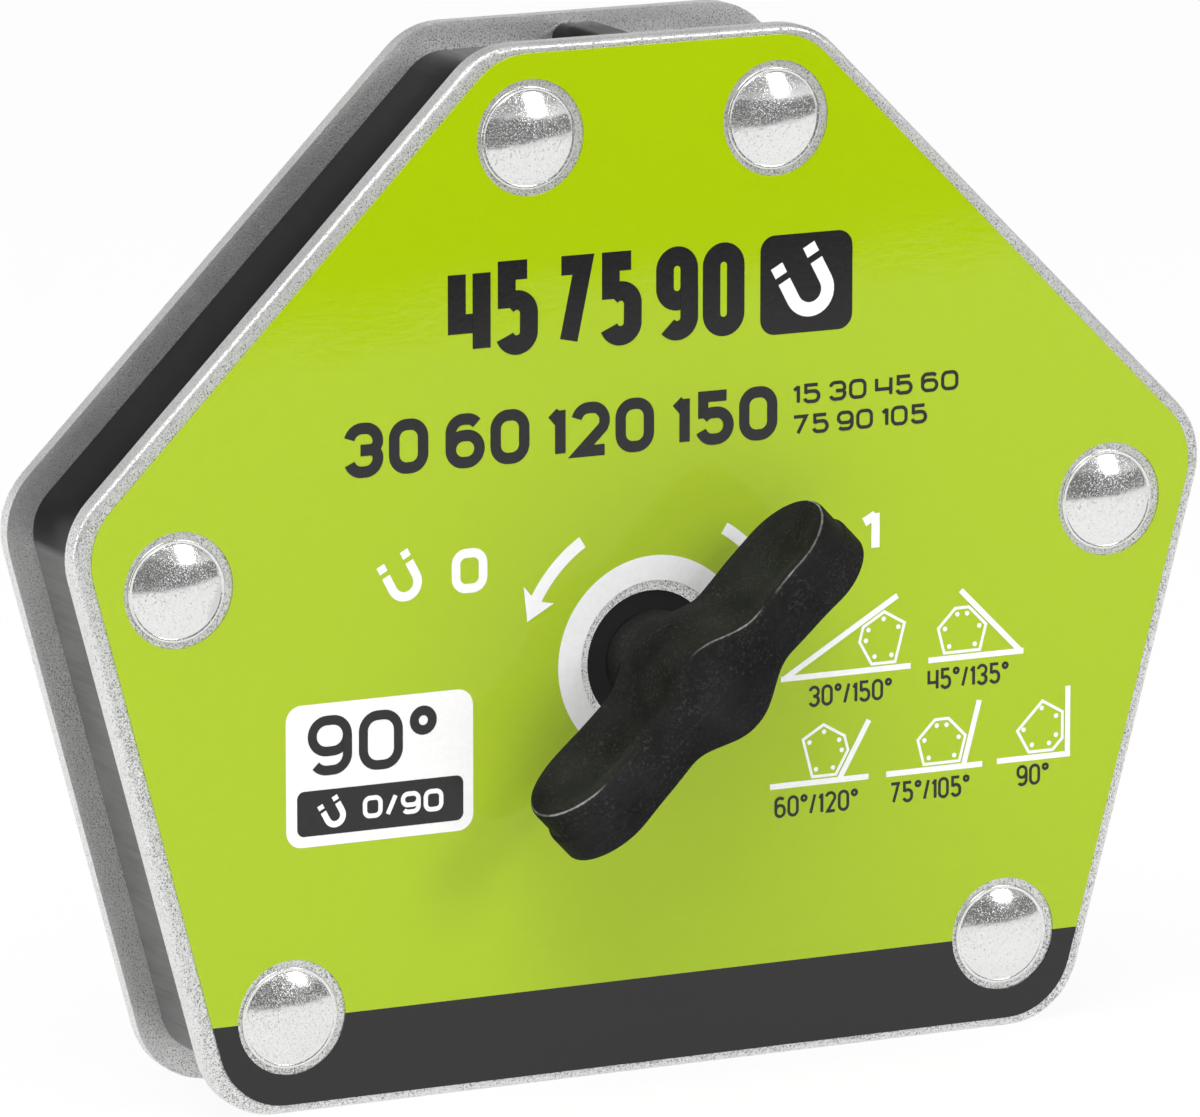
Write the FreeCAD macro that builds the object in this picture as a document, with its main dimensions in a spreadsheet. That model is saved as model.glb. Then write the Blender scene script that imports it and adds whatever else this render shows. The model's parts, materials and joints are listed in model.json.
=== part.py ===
"""Switchable welding magnet holder: a six-angle block with a turning magnet inside.

Two steel plates are riveted over a moulded core. Their edges are the poles that grip the
work. A drum in the middle carries the magnets: the handle on the front turns it a quarter
turn, from the pole shoes (on) to across them (off).

Frame: millimetres, +Z up, the front looks along -Y, the block stands on its base edges.
Every piece is drawn with y = 0 at the front plate's outer face and moved by front_y. The
pieces that turn, and those round them, are drawn about the hub and lifted to its height.
"""
import FreeCAD, Part
import math
import os
import re
import Sketcher

SIZES = {
    # The outline: a hexagon, its sides measured before their corners are rounded.
    "base_width": 112.0,
    "lower_side": 73.4,
    "upper_side": 75.8,
    "lower_angle": 75.0,          # degrees, lower sides to the base
    "upper_angle": 45.0,          # degrees, upper sides to the base
    "corner_radius": 9.5,
    # The two side plates.
    "plate_thickness": 2.5,
    "plate_edge_round": 0.7,      # blanked edge of the outer face
    "plate_bore_radius": 8.3,
    # The moulded core between them.
    "core_depth": 17.0,           # also the distance between the plates
    "core_inset": 3.3,            # the core's wall stands back from the plates' edges
    "core_wall": 3.0,
    "core_floor": 1.6,
    "core_boss_radius": 6.5,
    "core_rib": 2.0,
    "lug_width": 6.8,             # small rib on the top of the core
    "lug_height": 2.1,
    "lug_round": 1.8,
    # Six rivets, placed by their distance from the sides.
    "rivet_inset": 11.6,
    "rivet_upper_inset": 14.8,    # side rivets, from the upper sides
    "rivet_top_inset": 11.0,
    "rivet_radius": 3.0,
    "rivet_clearance": 0.05,
    "rivet_head_radius": 6.1,
    "rivet_head_rim": 0.35,       # height and width of the head's flat rim
    "rivet_head_height": 1.6,
    "rivet_tail_radius": 5.0,
    "rivet_tail_height": 1.1,
    # The printed film on the front plate.
    "label_thickness": 0.2,
    "label_side_inset": 1.8,
    "label_end_inset": 1.1,       # at the base and at the top
    "label_corner_radius": 8.6,
    "label_shift": 0.3,           # it sits a little to the right
    "label_hub_radius": 9.5,
    "label_window_margin": 0.8,   # round each rivet's head
    # The turning drum.
    "hub_height": 50.0,
    "drum_radius": 17.0,
    "drum_air_gap": 0.3,
    "drum_floor": 3.0,
    "drum_cap": 1.2,
    "drum_segment": 4.5,          # metal left above and below the slot for the magnets
    "magnet_half_width": 5.0,
    "slot_clearance": 0.05,
    "cap_screw_radius": 1.0,
    "cap_screw_head_radius": 2.0,
    "cap_screw_length": 6.0,
    # The pole shoes beside the drum.
    "shoe_depth": 9.7,            # from the drum's chamber outwards
    "shoe_overlap": 0.5,          # a shoe is this much taller than the magnets, each way
    "shoe_pad": 1.5,              # keeps each shoe off the other plate
    "shoe_clearance": 0.05,
    "shoe_wall": 2.5,
    "chamber_wall": 3.0,
    # Bushes in the plates.
    "bush_flange": 1.2,
    "bush_flange_width": 3.2,
    "bush_clearance": 0.05,       # in the plate's bore
    "front_bush_recess": 0.4,
    "rear_bush_recess": 1.4,
    "running_clearance": 0.06,    # radial, shaft in bush
    "end_play": 0.1,              # the drum between the two flanges
    # Spindle and handle.
    "drive_square": 6.0,
    "drive_clearance": 0.02,
    "spindle_reach": 14.0,        # how far the square stands out in front
    "handle_front": 20.0,         # front of the handle, from the plate
    "handle_depth": 15.4,         # the bar, front to underside
    "handle_length": 50.4,
    "handle_neck": 6.2,           # width of the bar beside the hub
    "handle_tip": 8.0,            # width of the bar at its ends
    "handle_hub_wall": 0.7,       # the hub is this much larger than the stem
    "handle_hub_blend": 7.0,
    "handle_hub_gap": 0.8,        # the hub ends this far in front of the plate
    "handle_edge_round": 1.0,
    "handle_angle": 43.5,         # degrees, up from level, with the magnet on
    "stem_wall": 1.35,            # at the corners of the square
    "seal_section": 0.45,         # radius of the ring's section
    "seal_place": 1.6,            # its middle, behind the plate's outer face
    # Quarter-turn stop.
    "turn_range": 90.0,           # degrees
    "stop_angle": 135.0,          # degrees, where the pin stands round the hub
    "stop_pin_radius": 1.4,
    "stop_pin_margin": 0.15,      # the pin stands this far inside the drum's rim
    "stop_clearance": 0.08,
    "stop_depth": 2.0,            # how far the pin reaches into the drum
    "stop_pin_recess": 0.3,
    # Screw and washers that hold the spindle from behind.
    "screw_radius": 1.95,
    "screw_clearance": 0.03,
    "screw_length": 10.0,
    "screw_head_radius": 3.5,
    "screw_head_height": 2.2,
    "socket_across_flats": 2.5,
    "socket_depth": 1.3,
    "washer_radius": 6.8,
    "washer_thickness": 0.8,
    "lock_washer_radius": 3.4,
    "lock_washer_thickness": 0.9,
    "washer_clearance": 0.15,
}

# Sizes that follow from those above, as formulas in their names.
DERIVED = {
    "side_x": "base_width / 2 + lower_side * cos(lower_angle * 1 deg)",
    "side_z": "lower_side * sin(lower_angle * 1 deg)",
    "body_height": "side_z + upper_side * sin(upper_angle * 1 deg)",
    "body_depth": "2 * plate_thickness + core_depth",
    "core_back": "plate_thickness + core_depth",
    "core_corner_radius": "corner_radius - core_inset",
    "washer_front": "body_depth - rear_bush_recess + running_clearance",
    "lock_washer_front": "washer_front + washer_thickness",
    "head_front": "lock_washer_front + lock_washer_thickness",
    "head_back": "head_front + screw_head_height",
    "front_y": "(handle_front - head_back) / 2",
    "flange_back": "plate_thickness + bush_flange",
    "drum_front": "flange_back + end_play",
    "drum_back": "core_back - bush_flange - end_play",
    "cap_front": "drum_back - drum_cap",
    "slot_floor": "drum_front + drum_floor",
    "slot_half_height": "drum_radius - drum_segment",
    "slot_half": "slot_half_height - slot_clearance",
    "cap_screw_offset": "drum_radius - drum_segment / 2",
    "chamber_radius": "drum_radius + drum_air_gap",
    "shoe_reach": "chamber_radius + shoe_depth",
    "shoe_half_height": "slot_half_height + shoe_overlap",
    "shoe_slot_reach": "shoe_reach + shoe_clearance",
    "shoe_slot_half": "shoe_half_height + shoe_clearance",
    "bush_radius": "plate_bore_radius - bush_clearance",
    "bush_flange_radius": "plate_bore_radius + bush_flange_width",
    "rivet_hole_radius": "rivet_radius + rivet_clearance",
    "square_half": "drive_square / 2",
    "square_hole_half": "drive_square / 2 + drive_clearance",
    "journal_radius": "drive_square / 2",
    "stem_radius": "square_hole_half * sqrt(2) + stem_wall",
    "seal_ring_radius": "stem_radius - seal_section",
    "handle_hub_radius": "stem_radius + handle_hub_wall",
    "label_window_radius": "rivet_head_radius + label_window_margin",
    "handle_back": "handle_front - handle_depth",
    "handle_half": "handle_length / 2",
    "base_rivet_x": "base_width / 2 + rivet_inset / tan(lower_angle * 1 deg)"
                    " - rivet_inset / sin(lower_angle * 1 deg)",
    "base_rivet_z": "rivet_inset",
    "side_rivet_x": "side_x - (rivet_inset * cos(upper_angle * 1 deg)"
                    " + rivet_upper_inset * cos(lower_angle * 1 deg))"
                    " / sin((lower_angle + upper_angle) * 1 deg)",
    "side_rivet_z": "side_z - (rivet_upper_inset * sin(lower_angle * 1 deg)"
                    " - rivet_inset * sin(upper_angle * 1 deg))"
                    " / sin((lower_angle + upper_angle) * 1 deg)",
    "top_rivet_z": "body_height - rivet_top_inset",
    "top_rivet_x": "side_x - (body_height - side_z) / tan(upper_angle * 1 deg)"
                   " + rivet_top_inset / tan(upper_angle * 1 deg)"
                   " - rivet_inset / sin(upper_angle * 1 deg)",
    "stop_ring_radius": "drum_radius - stop_pin_radius - stop_pin_margin",
    "stop_x": "stop_ring_radius * cos(stop_angle * 1 deg)",
    "stop_z": "stop_ring_radius * sin(stop_angle * 1 deg)",
    "stop_margin": "asin((stop_pin_radius + stop_clearance) / stop_ring_radius) / 1 deg",
}

doc = FreeCAD.newDocument("MagnetHolder")
sheet = doc.addObject("Spreadsheet::Sheet", "Sizes")
for row, (alias, number) in enumerate(SIZES.items(), start=1):
    sheet.set(f"A{row}", alias)
    sheet.set(f"B{row}", str(number))
    sheet.setAlias(f"B{row}", alias)
doc.recompute()
layout = doc.addObject("App::FeaturePython", "Layout")


def in_sheet_terms(formula):
    """Put the owner's name before each size name in a formula."""
    def owner(match):
        word = match.group(0)
        if word in SIZES:
            return "Sizes." + word
        if word in DERIVED:
            return "Layout." + word
        return word
    return re.sub(r"[a-z]+(?:_[a-z]+)*", owner, formula)


for alias, formula in DERIVED.items():
    layout.addProperty("App::PropertyFloat", alias, "Derived")
    layout.setExpression(alias, in_sheet_terms(formula))
    doc.recompute()
sums = doc.addObject("App::FeaturePython", "Sums")
sums.addProperty("App::PropertyFloat", "Result", "Derived")


def value(formula):
    """The number that a formula comes to."""
    sums.setExpression("Result", in_sheet_terms(str(formula)))
    sums.recompute()
    return float(sums.Result)


def bind(thing, name, formula):
    """Tie one property of an object to a formula."""
    thing.setExpression(name, in_sheet_terms(str(formula)))


BODIES = {}


def new_body(name, height="0", across="0"):
    """An empty body, placed in the frame; height and across move it from the block's foot."""
    body = doc.addObject("PartDesign::Body", name)
    body.Label = name
    bind(body, "Placement.Base.x", across)
    bind(body, "Placement.Base.y", "front_y")
    bind(body, "Placement.Base.z", height)
    BODIES[name] = body
    return body


class Drawing:
    """A sketch on one of its body's own planes, with every size bound to the sheet."""

    def __init__(self, body, plane, offset, name, turn="0"):
        self.sketch = body.newObject("Sketcher::SketchObject", name)
        base = next(item for item in body.Origin.OriginFeatures if item.Role == plane)
        self.sketch.AttachmentSupport = [(base, "")]
        self.sketch.MapMode = "FlatFace"
        bind(self.sketch, "AttachmentOffset.Base.z", offset)
        bind(self.sketch, "AttachmentOffset.Rotation.Angle", turn)

    def _datum(self, kind, formula, *references):
        number = value(formula)
        if kind == "Angle":
            number = math.radians(number)
            formula = f"({formula}) * 1 deg"
        index = self.sketch.addConstraint(Sketcher.Constraint(kind, *references, number))
        bind(self.sketch, f"Constraints[{index}]", formula)

    def _pin(self, geometry, point, across, up):
        """Hold one point of the sketch at (across, up) from its origin."""
        self._datum("DistanceX", across, -1, 1, geometry, point)
        self._datum("DistanceY", up, -1, 1, geometry, point)

    def circle(self, across, up, radius):
        centre = FreeCAD.Vector(value(across), value(up), 0)
        shape = Part.Circle(centre, FreeCAD.Vector(0, 0, 1), value(radius))
        index = self.sketch.addGeometry(shape)
        self._pin(index, 3, across, up)
        self._datum("Radius", radius, index)
        return self

    def polygon(self, corners):
        """A closed run of straight lines; each corner is a pair of formulas."""
        places = [FreeCAD.Vector(value(across), value(up), 0) for across, up in corners]
        ends = places[1:] + places[:1]
        lines = [self.sketch.addGeometry(Part.LineSegment(start, end))
                 for start, end in zip(places, ends)]
        for line, after in zip(lines, lines[1:] + lines[:1]):
            self.sketch.addConstraint(Sketcher.Constraint("Coincident", line, 2, after, 1))
        for line, (across, up) in zip(lines, corners):
            self._pin(line, 1, across, up)
        return self

    def box(self, left, right, low, high):
        return self.polygon([(left, low), (right, low), (right, high), (left, high)])

    def domed(self, corners, from_corner):
        """A closed profile in which the line after one corner is an arc centred on the axis."""
        places = [FreeCAD.Vector(value(across), value(up), 0) for across, up in corners]
        indices = []
        for number, start in enumerate(places):
            end = places[(number + 1) % len(places)]
            if number in from_corner:
                indices.append(self._dome(start, end))
            else:
                indices.append((self.sketch.addGeometry(Part.LineSegment(start, end)), 1, 2))
        for here, after in zip(indices, indices[1:] + indices[:1]):
            joint = Sketcher.Constraint("Coincident", here[0], here[2], after[0], after[1])
            self.sketch.addConstraint(joint)
        for number, (across, up) in enumerate(corners):
            self._pin(indices[number][0], indices[number][1], across, up)
        for number in from_corner:
            on_axis = Sketcher.Constraint("PointOnObject", indices[number][0], 3, -2)
            self.sketch.addConstraint(on_axis)
        return self

    def _dome(self, start, end):
        """An arc from start to end whose centre is on the sketch's upright axis."""
        height = (end.x ** 2 + end.y ** 2 - start.x ** 2 - start.y ** 2) / (2 * (end.y - start.y))
        centre = FreeCAD.Vector(0, height, 0)
        radius = (start - centre).Length
        angles = [math.atan2(point.y - height, point.x) for point in (start, end)]
        turn = (angles[1] - angles[0]) % (2 * math.pi)
        anticlockwise = turn < math.pi
        first, last = angles if anticlockwise else angles[::-1]
        circle = Part.Circle(centre, FreeCAD.Vector(0, 0, 1), radius)
        index = self.sketch.addGeometry(Part.ArcOfCircle(circle, first, last))
        return (index, 1, 2) if anticlockwise else (index, 2, 1)

    def sector(self, inner, outer, start, end):
        """Part of a ring about the origin, between two angles in degrees."""
        low = math.radians(value(start))
        high = math.radians(value(end))
        arcs = []
        for radius in (inner, outer):
            circle = Part.Circle(FreeCAD.Vector(), FreeCAD.Vector(0, 0, 1), value(radius))
            arc = self.sketch.addGeometry(Part.ArcOfCircle(circle, low, high))
            self.sketch.addConstraint(Sketcher.Constraint("Coincident", arc, 3, -1, 1))
            self._datum("Radius", radius, arc)
            arcs.append(arc)
        for point, angle, formula in ((1, low, start), (2, high, end)):
            ray = FreeCAD.Vector(math.cos(angle), math.sin(angle), 0)
            near = ray * value(inner)
            far = ray * value(outer)
            line = self.sketch.addGeometry(Part.LineSegment(near, far))
            self.sketch.addConstraint(Sketcher.Constraint("Coincident", line, 1, arcs[0], point))
            self.sketch.addConstraint(Sketcher.Constraint("Coincident", line, 2, arcs[1], point))
            self._datum("Angle", formula, line)
        return self

    def slot(self, reach, middle, radius):
        """A bar with half-round ends, centred on the upright axis; reach is its half length."""
        centre = value(f"{reach} - ({radius})")
        up = value(middle)
        size = value(radius)
        arcs = []
        for sign, start in ((1, -math.pi / 2), (-1, math.pi / 2)):
            circle = Part.Circle(FreeCAD.Vector(sign * centre, up, 0),
                                 FreeCAD.Vector(0, 0, 1), size)
            arc = self.sketch.addGeometry(Part.ArcOfCircle(circle, start, start + math.pi))
            self._pin(arc, 3, f"{sign} * ({reach} - ({radius}))", middle)
            self._datum("Radius", radius, arc)
            arcs.append(arc)
        for here, after in (arcs, arcs[::-1]):
            start = self.sketch.getPoint(here, 2)
            line = self.sketch.addGeometry(Part.LineSegment(start, self.sketch.getPoint(after, 1)))
            self.sketch.addConstraint(Sketcher.Constraint("Tangent", here, 2, line, 1))
            self.sketch.addConstraint(Sketcher.Constraint("Tangent", line, 2, after, 1))
        return self

    def outline(self, side_inset, end_inset):
        """The block's hexagon, its sloping sides and its two level sides moved inwards."""
        slope = "lower_angle * 1 deg"
        rise = "upper_angle * 1 deg"
        base_x = (f"(base_width / 2 + ({end_inset}) / tan({slope})"
                  f" - ({side_inset}) / sin({slope}))")
        corner_x = (f"(side_x - ({side_inset}) * (cos({rise}) + cos({slope}))"
                    f" / sin({slope} + {rise}))")
        corner_up = f"({end_inset} + ({corner_x} - {base_x}) * tan({slope}))"
        top_up = f"(body_height - ({end_inset}))"
        top_x = f"({corner_x} - ({top_up} - {corner_up}) / tan({rise}))"
        right = [(base_x, end_inset), (corner_x, corner_up), (top_x, top_up)]
        left = [(f"-{across}", up) for across, up in reversed(right)]
        return self.polygon(right + left)


def front_drawing(body, depth, name):
    """A sketch seen from the front, lying at a depth behind the plate's outer face."""
    return Drawing(body, "XZ_Plane", f"-({depth})", name)


def pad(body, drawing, length, name):
    """Raise a drawing towards the front by a length."""
    feature = body.newObject("PartDesign::Pad", name)
    feature.Profile = drawing.sketch
    bind(feature, "Length", length)
    doc.recompute()
    return feature


def cut(body, drawing, length, name):
    """Take a drawing out of the body, towards the front by a length; it must remove material."""
    before = body.Shape.Volume
    feature = body.newObject("PartDesign::Pocket", name)
    feature.Profile = drawing.sketch
    feature.Reversed = True
    bind(feature, "Length", length)
    doc.recompute()
    if body.Shape.Volume > before - 1e-6:
        raise ValueError(f"{name} removes nothing")
    return feature


def revolve(body, drawing, name):
    """Turn a profile of (radius, depth) about the body's own Y axis."""
    feature = body.newObject("PartDesign::Revolution", name)
    feature.Profile = drawing.sketch
    feature.ReferenceAxis = (drawing.sketch, ["V_Axis"])
    feature.Angle = 360
    doc.recompute()
    return feature


def turned(name, corners, height="hub_height", domes=()):
    """A turned piece from its half profile."""
    body = new_body(name, height)
    drawing = Drawing(body, "XY_Plane", "0", name + "_profile")
    revolve(body, drawing.domed(corners, domes), name + "_turned")
    return body


def round_edges(body, chosen, radius, name):
    """Fillet the edges of the body's present shape that a test picks out."""
    base = body.Tip
    names = [f"Edge{number}" for number, edge in enumerate(base.Shape.Edges, start=1)
             if chosen(edge)]
    if not names:
        raise ValueError(f"{name} finds no edge")
    feature = body.newObject("PartDesign::Fillet", name)
    feature.Base = (base, names)
    bind(feature, "Radius", radius)
    doc.recompute()
    return feature


def runs_front_to_back(edge):
    """True of a straight edge along Y."""
    if edge.Curve.TypeId != "Part::GeomLine":
        return False
    along = edge.lastVertex().Point - edge.firstVertex().Point
    return abs(along.y) > 1e-6 and abs(along.x) < 1e-6 and abs(along.z) < 1e-6


def lies_at_depth(depth):
    """A test for edges that lie wholly in the plane at one depth, in the piece's own frame."""
    def test(edge):
        return all(abs(vertex.Point.y - depth) < 1e-6 for vertex in edge.Vertexes)
    return test


RIVET_PLACES = [(sign + x, z) for x, z in (("base_rivet_x", "base_rivet_z"),
                                           ("side_rivet_x", "side_rivet_z"),
                                           ("top_rivet_x", "top_rivet_z"))
                for sign in ("", "-")]


def rivet_circles(body, depth, radius, name):
    drawing = front_drawing(body, depth, name)
    for across, up in RIVET_PLACES:
        drawing.circle(across, up, radius)
    return drawing


def make_plate(name, outer, inner):
    """A blanked steel plate; outer and inner are the depths of its two faces."""
    body = new_body(name)
    near, far = sorted((outer, inner), key=value)
    blank = front_drawing(body, far, name + "_outline").outline("0", "0")
    pad(body, blank, "plate_thickness", name + "_blank")
    round_edges(body, runs_front_to_back, "corner_radius", name + "_corners")
    round_edges(body, lies_at_depth(value(outer)), "plate_edge_round", name + "_edge")
    bore = front_drawing(body, far, name + "_bore").circle("0", "hub_height", "plate_bore_radius")
    cut(body, bore, "plate_thickness", name + "_bored")
    holes = rivet_circles(body, far, "rivet_hole_radius", name + "_rivet_holes")
    cut(body, holes, "plate_thickness", name + "_drilled")
    return body


def make_front_plate():
    """The front plate also holds the pin that stops the drum."""
    body = make_plate("front_plate", "0", "plate_thickness")
    hole = front_drawing(body, "plate_thickness", "front_plate_stop_hole")
    hole.circle("stop_x", "hub_height + stop_z", "stop_pin_radius + drive_clearance")
    cut(body, hole, "plate_thickness", "front_plate_stop_drilled")


def make_core():
    """The moulded core: a wall, a floor, bosses and ribs, with the drum's chamber through it."""
    body = new_body("core_frame")
    outside = front_drawing(body, "core_back", "core_outline").outline("core_inset", "core_inset")
    pad(body, outside, "core_depth", "core_block")
    round_edges(body, runs_front_to_back, "core_corner_radius", "core_corners")
    inset = "core_inset + core_wall"
    hollow = front_drawing(body, "core_back - core_floor", "core_hollow").outline(inset, inset)
    cut(body, hollow, "core_depth - core_floor", "core_hollowed")
    lug = front_drawing(body, "core_back", "core_lug")
    core_top = "body_height - core_inset"
    lug.box("-lug_width / 2", "lug_width / 2", f"{core_top} - core_wall / 2",
            f"{core_top} + lug_height")
    pad(body, lug, "core_depth", "core_lugged")
    lug_top = value(f"{core_top} + lug_height")
    round_edges(body, lambda edge: runs_front_to_back(edge)
                and abs(edge.CenterOfMass.z - lug_top) < 1e-6, "lug_round", "core_lug_rounded")
    bosses = rivet_circles(body, "core_back", "core_boss_radius", "core_bosses")
    pad(body, bosses, "core_depth", "core_bossed")
    half = "core_rib / 2"
    ribs = {
        "base": ("-base_rivet_x", "base_rivet_x", f"base_rivet_z - {half}",
                 f"base_rivet_z + {half}"),
        "side": ("-side_rivet_x", "side_rivet_x", f"side_rivet_z - {half}",
                 f"side_rivet_z + {half}"),
        "left": (f"-base_rivet_x - {half}", f"-base_rivet_x + {half}", "base_rivet_z",
                 "side_rivet_z"),
        "right": (f"base_rivet_x - {half}", f"base_rivet_x + {half}", "base_rivet_z",
                  "side_rivet_z"),
        "upper_left": (f"-top_rivet_x - {half}", f"-top_rivet_x + {half}", "base_rivet_z",
                       "top_rivet_z"),
        "upper_right": (f"top_rivet_x - {half}", f"top_rivet_x + {half}", "base_rivet_z",
                        "top_rivet_z"),
    }
    for name, sides in ribs.items():
        rib = front_drawing(body, "core_back", f"core_{name}_rib").box(*sides)
        pad(body, rib, "core_depth", f"core_{name}_ribbed")
    wall = front_drawing(body, "core_back", "core_chamber_wall")
    wall.circle("0", "hub_height", "chamber_radius + chamber_wall")
    pad(body, wall, "core_depth", "core_chamber_walled")
    shoe_box = front_drawing(body, "core_back", "core_shoe_wall")
    shoe_box.box("-shoe_slot_reach - shoe_wall", "shoe_slot_reach + shoe_wall",
                 "hub_height - shoe_slot_half - shoe_wall",
                 "hub_height + shoe_slot_half + shoe_wall")
    pad(body, shoe_box, "core_depth", "core_shoe_walled")
    chamber = front_drawing(body, "core_back", "core_chamber")
    chamber.circle("0", "hub_height", "chamber_radius")
    cut(body, chamber, "core_depth", "core_chambered")
    shoes = front_drawing(body, "core_back", "core_shoe_slot")
    shoes.box("-shoe_slot_reach", "shoe_slot_reach", "hub_height - shoe_slot_half",
              "hub_height + shoe_slot_half")
    cut(body, shoes, "core_depth", "core_slotted")
    holes = rivet_circles(body, "core_back", "rivet_hole_radius", "core_rivet_holes")
    cut(body, holes, "core_depth", "core_drilled")


def make_label():
    """The printed film, with a window round the hub and one round each rivet."""
    body = new_body("front_label", across="label_shift")
    film = front_drawing(body, "0", "label_outline").outline("label_side_inset",
                                                             "label_end_inset")
    pad(body, film, "label_thickness", "label_film")
    round_edges(body, runs_front_to_back, "label_corner_radius", "label_corners")
    hub = front_drawing(body, "0", "label_hub").circle("0", "hub_height", "label_hub_radius")
    cut(body, hub, "label_thickness", "label_hub_window")
    windows = rivet_circles(body, "0", "label_window_radius", "label_windows")
    cut(body, windows, "label_thickness", "label_rivet_windows")


def make_shoes():
    """Each shoe touches one plate, and its pad keeps it off the other."""
    places = {"left": ("-1", "plate_thickness", "core_back - shoe_pad", "core_back"),
              "right": ("1", "core_back", "plate_thickness + shoe_pad", "plate_thickness")}
    for side, (sign, seat, free_end, other_plate) in places.items():
        spans = {"pole_shoe_": (seat, free_end), "shoe_pad_": (free_end, other_plate)}
        for kind, (one_end, other_end) in spans.items():
            front, back = sorted((one_end, other_end), key=value)
            name = kind + side
            body = new_body(name, "hub_height")
            block = front_drawing(body, back, name + "_outline")
            ends = sorted((f"{sign} * chamber_radius / 2", f"{sign} * shoe_reach"), key=value)
            block.box(*ends, "-shoe_half_height", "shoe_half_height")
            pad(body, block, f"{back} - ({front})", name + "_block")
            bore = front_drawing(body, back, name + "_bore").circle("0", "0", "chamber_radius")
            cut(body, bore, f"{back} - ({front})", name + "_bored")


def make_bushes():
    """Flanged plastic bushes, pressed into the plates from inside."""
    inner = "stem_radius + running_clearance"
    turned("front_bush", [(inner, "front_bush_recess"), ("bush_radius", "front_bush_recess"),
                          ("bush_radius", "plate_thickness"),
                          ("bush_flange_radius", "plate_thickness"),
                          ("bush_flange_radius", "flange_back"), (inner, "flange_back")])
    inner = "journal_radius + running_clearance"
    rear_face = "body_depth - rear_bush_recess"
    flange_front = "core_back - bush_flange"
    turned("rear_bush", [(inner, flange_front), ("bush_flange_radius", flange_front),
                         ("bush_flange_radius", "core_back"), ("bush_radius", "core_back"),
                         ("bush_radius", rear_face), (inner, rear_face)])


def make_carrier():
    """The drum's die-cast carrier: a floor and two segments with the magnets' slot between."""
    body = new_body("rotor_carrier", "hub_height")
    disc = front_drawing(body, "cap_front", "carrier_disc").circle("0", "0", "drum_radius")
    pad(body, disc, "cap_front - drum_front", "carrier_drum")
    slot = front_drawing(body, "cap_front", "carrier_slot")
    slot.box("-drum_radius - 1", "drum_radius + 1", "-slot_half_height", "slot_half_height")
    cut(body, slot, "cap_front - slot_floor", "carrier_slotted")
    square = front_drawing(body, "cap_front", "carrier_square")
    square.box("-square_hole_half", "square_hole_half", "-square_hole_half", "square_hole_half")
    cut(body, square, "cap_front - drum_front", "carrier_squared")
    groove_depth = "stop_depth + stop_clearance"
    groove = front_drawing(body, f"drum_front + {groove_depth}", "carrier_stop_groove")
    groove.sector("stop_ring_radius - stop_pin_radius - stop_clearance", "drum_radius + 1",
                  "stop_angle - turn_range - stop_margin", "stop_angle + stop_margin")
    cut(body, groove, groove_depth, "carrier_stop_cut")
    screws = front_drawing(body, "cap_front", "carrier_screw_holes")
    for sign in ("", "-"):
        screws.circle("0", sign + "cap_screw_offset", "cap_screw_radius + screw_clearance")
    cut(body, screws, "cap_screw_length", "carrier_tapped")


def make_cap():
    """The cover that keeps the magnets in the carrier."""
    body = new_body("rotor_cap", "hub_height")
    disc = front_drawing(body, "drum_back", "cap_disc").circle("0", "0", "drum_radius")
    pad(body, disc, "drum_cap", "cap_blank")
    square = front_drawing(body, "drum_back", "cap_square")
    square.box("-square_hole_half", "square_hole_half", "-square_hole_half", "square_hole_half")
    cut(body, square, "drum_cap", "cap_squared")
    holes = front_drawing(body, "drum_back", "cap_screw_holes")
    for sign in ("", "-"):
        holes.circle("0", sign + "cap_screw_offset", "cap_screw_head_radius + screw_clearance")
    cut(body, holes, "drum_cap", "cap_drilled")


def make_magnets():
    """Two blocks, above and below the spindle, magnetised from left to right."""
    for name, sign in (("rotor_magnet_upper", "1"), ("rotor_magnet_lower", "-1")):
        body = new_body(name, "hub_height")
        block = front_drawing(body, "cap_front", name + "_outline")
        ends = sorted((f"{sign} * (square_half + slot_clearance)", f"{sign} * slot_half"),
                      key=value)
        block.box("-magnet_half_width", "magnet_half_width", *ends)
        pad(body, block, "cap_front - slot_floor", name + "_block")


def make_rotor_poles():
    """Steel segments on the magnets' two faces; their round sides sweep past the shoes."""
    for name, sign in (("rotor_pole_left", "-1"), ("rotor_pole_right", "1")):
        body = new_body(name, "hub_height")
        disc = front_drawing(body, "cap_front", name + "_disc").circle("0", "0", "drum_radius")
        length = "cap_front - slot_floor"
        pad(body, disc, length, name + "_blank")
        flat = front_drawing(body, "cap_front", name + "_flat")
        ends = sorted((f"{sign} * (magnet_half_width + drive_clearance)",
                       f"-{sign} * (drum_radius + 1)"), key=value)
        flat.box(*ends, "-drum_radius - 1", "drum_radius + 1")
        cut(body, flat, length, name + "_flattened")
        ends = front_drawing(body, "cap_front", name + "_ends")
        ends.box("-drum_radius - 1", "drum_radius + 1", "slot_half", "drum_radius + 1")
        ends.box("-drum_radius - 1", "drum_radius + 1", "-drum_radius - 1", "-slot_half")
        cut(body, ends, length, name + "_trimmed")


def make_spindle():
    """A square bar that drives the drum, with a turned journal and a tapped hole behind."""
    body = new_body("spindle", "hub_height")
    bar = front_drawing(body, "drum_back", "spindle_square")
    bar.box("-square_half", "square_half", "-square_half", "square_half")
    pad(body, bar, "drum_back + spindle_reach", "spindle_bar")
    journal = front_drawing(body, "washer_front", "spindle_journal")
    journal.circle("0", "0", "journal_radius")
    pad(body, journal, "washer_front - drum_back", "spindle_turned")
    hole = front_drawing(body, "washer_front", "spindle_hole")
    hole.circle("0", "0", "screw_radius + screw_clearance")
    cut(body, hole, "screw_length", "spindle_tapped")


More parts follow.
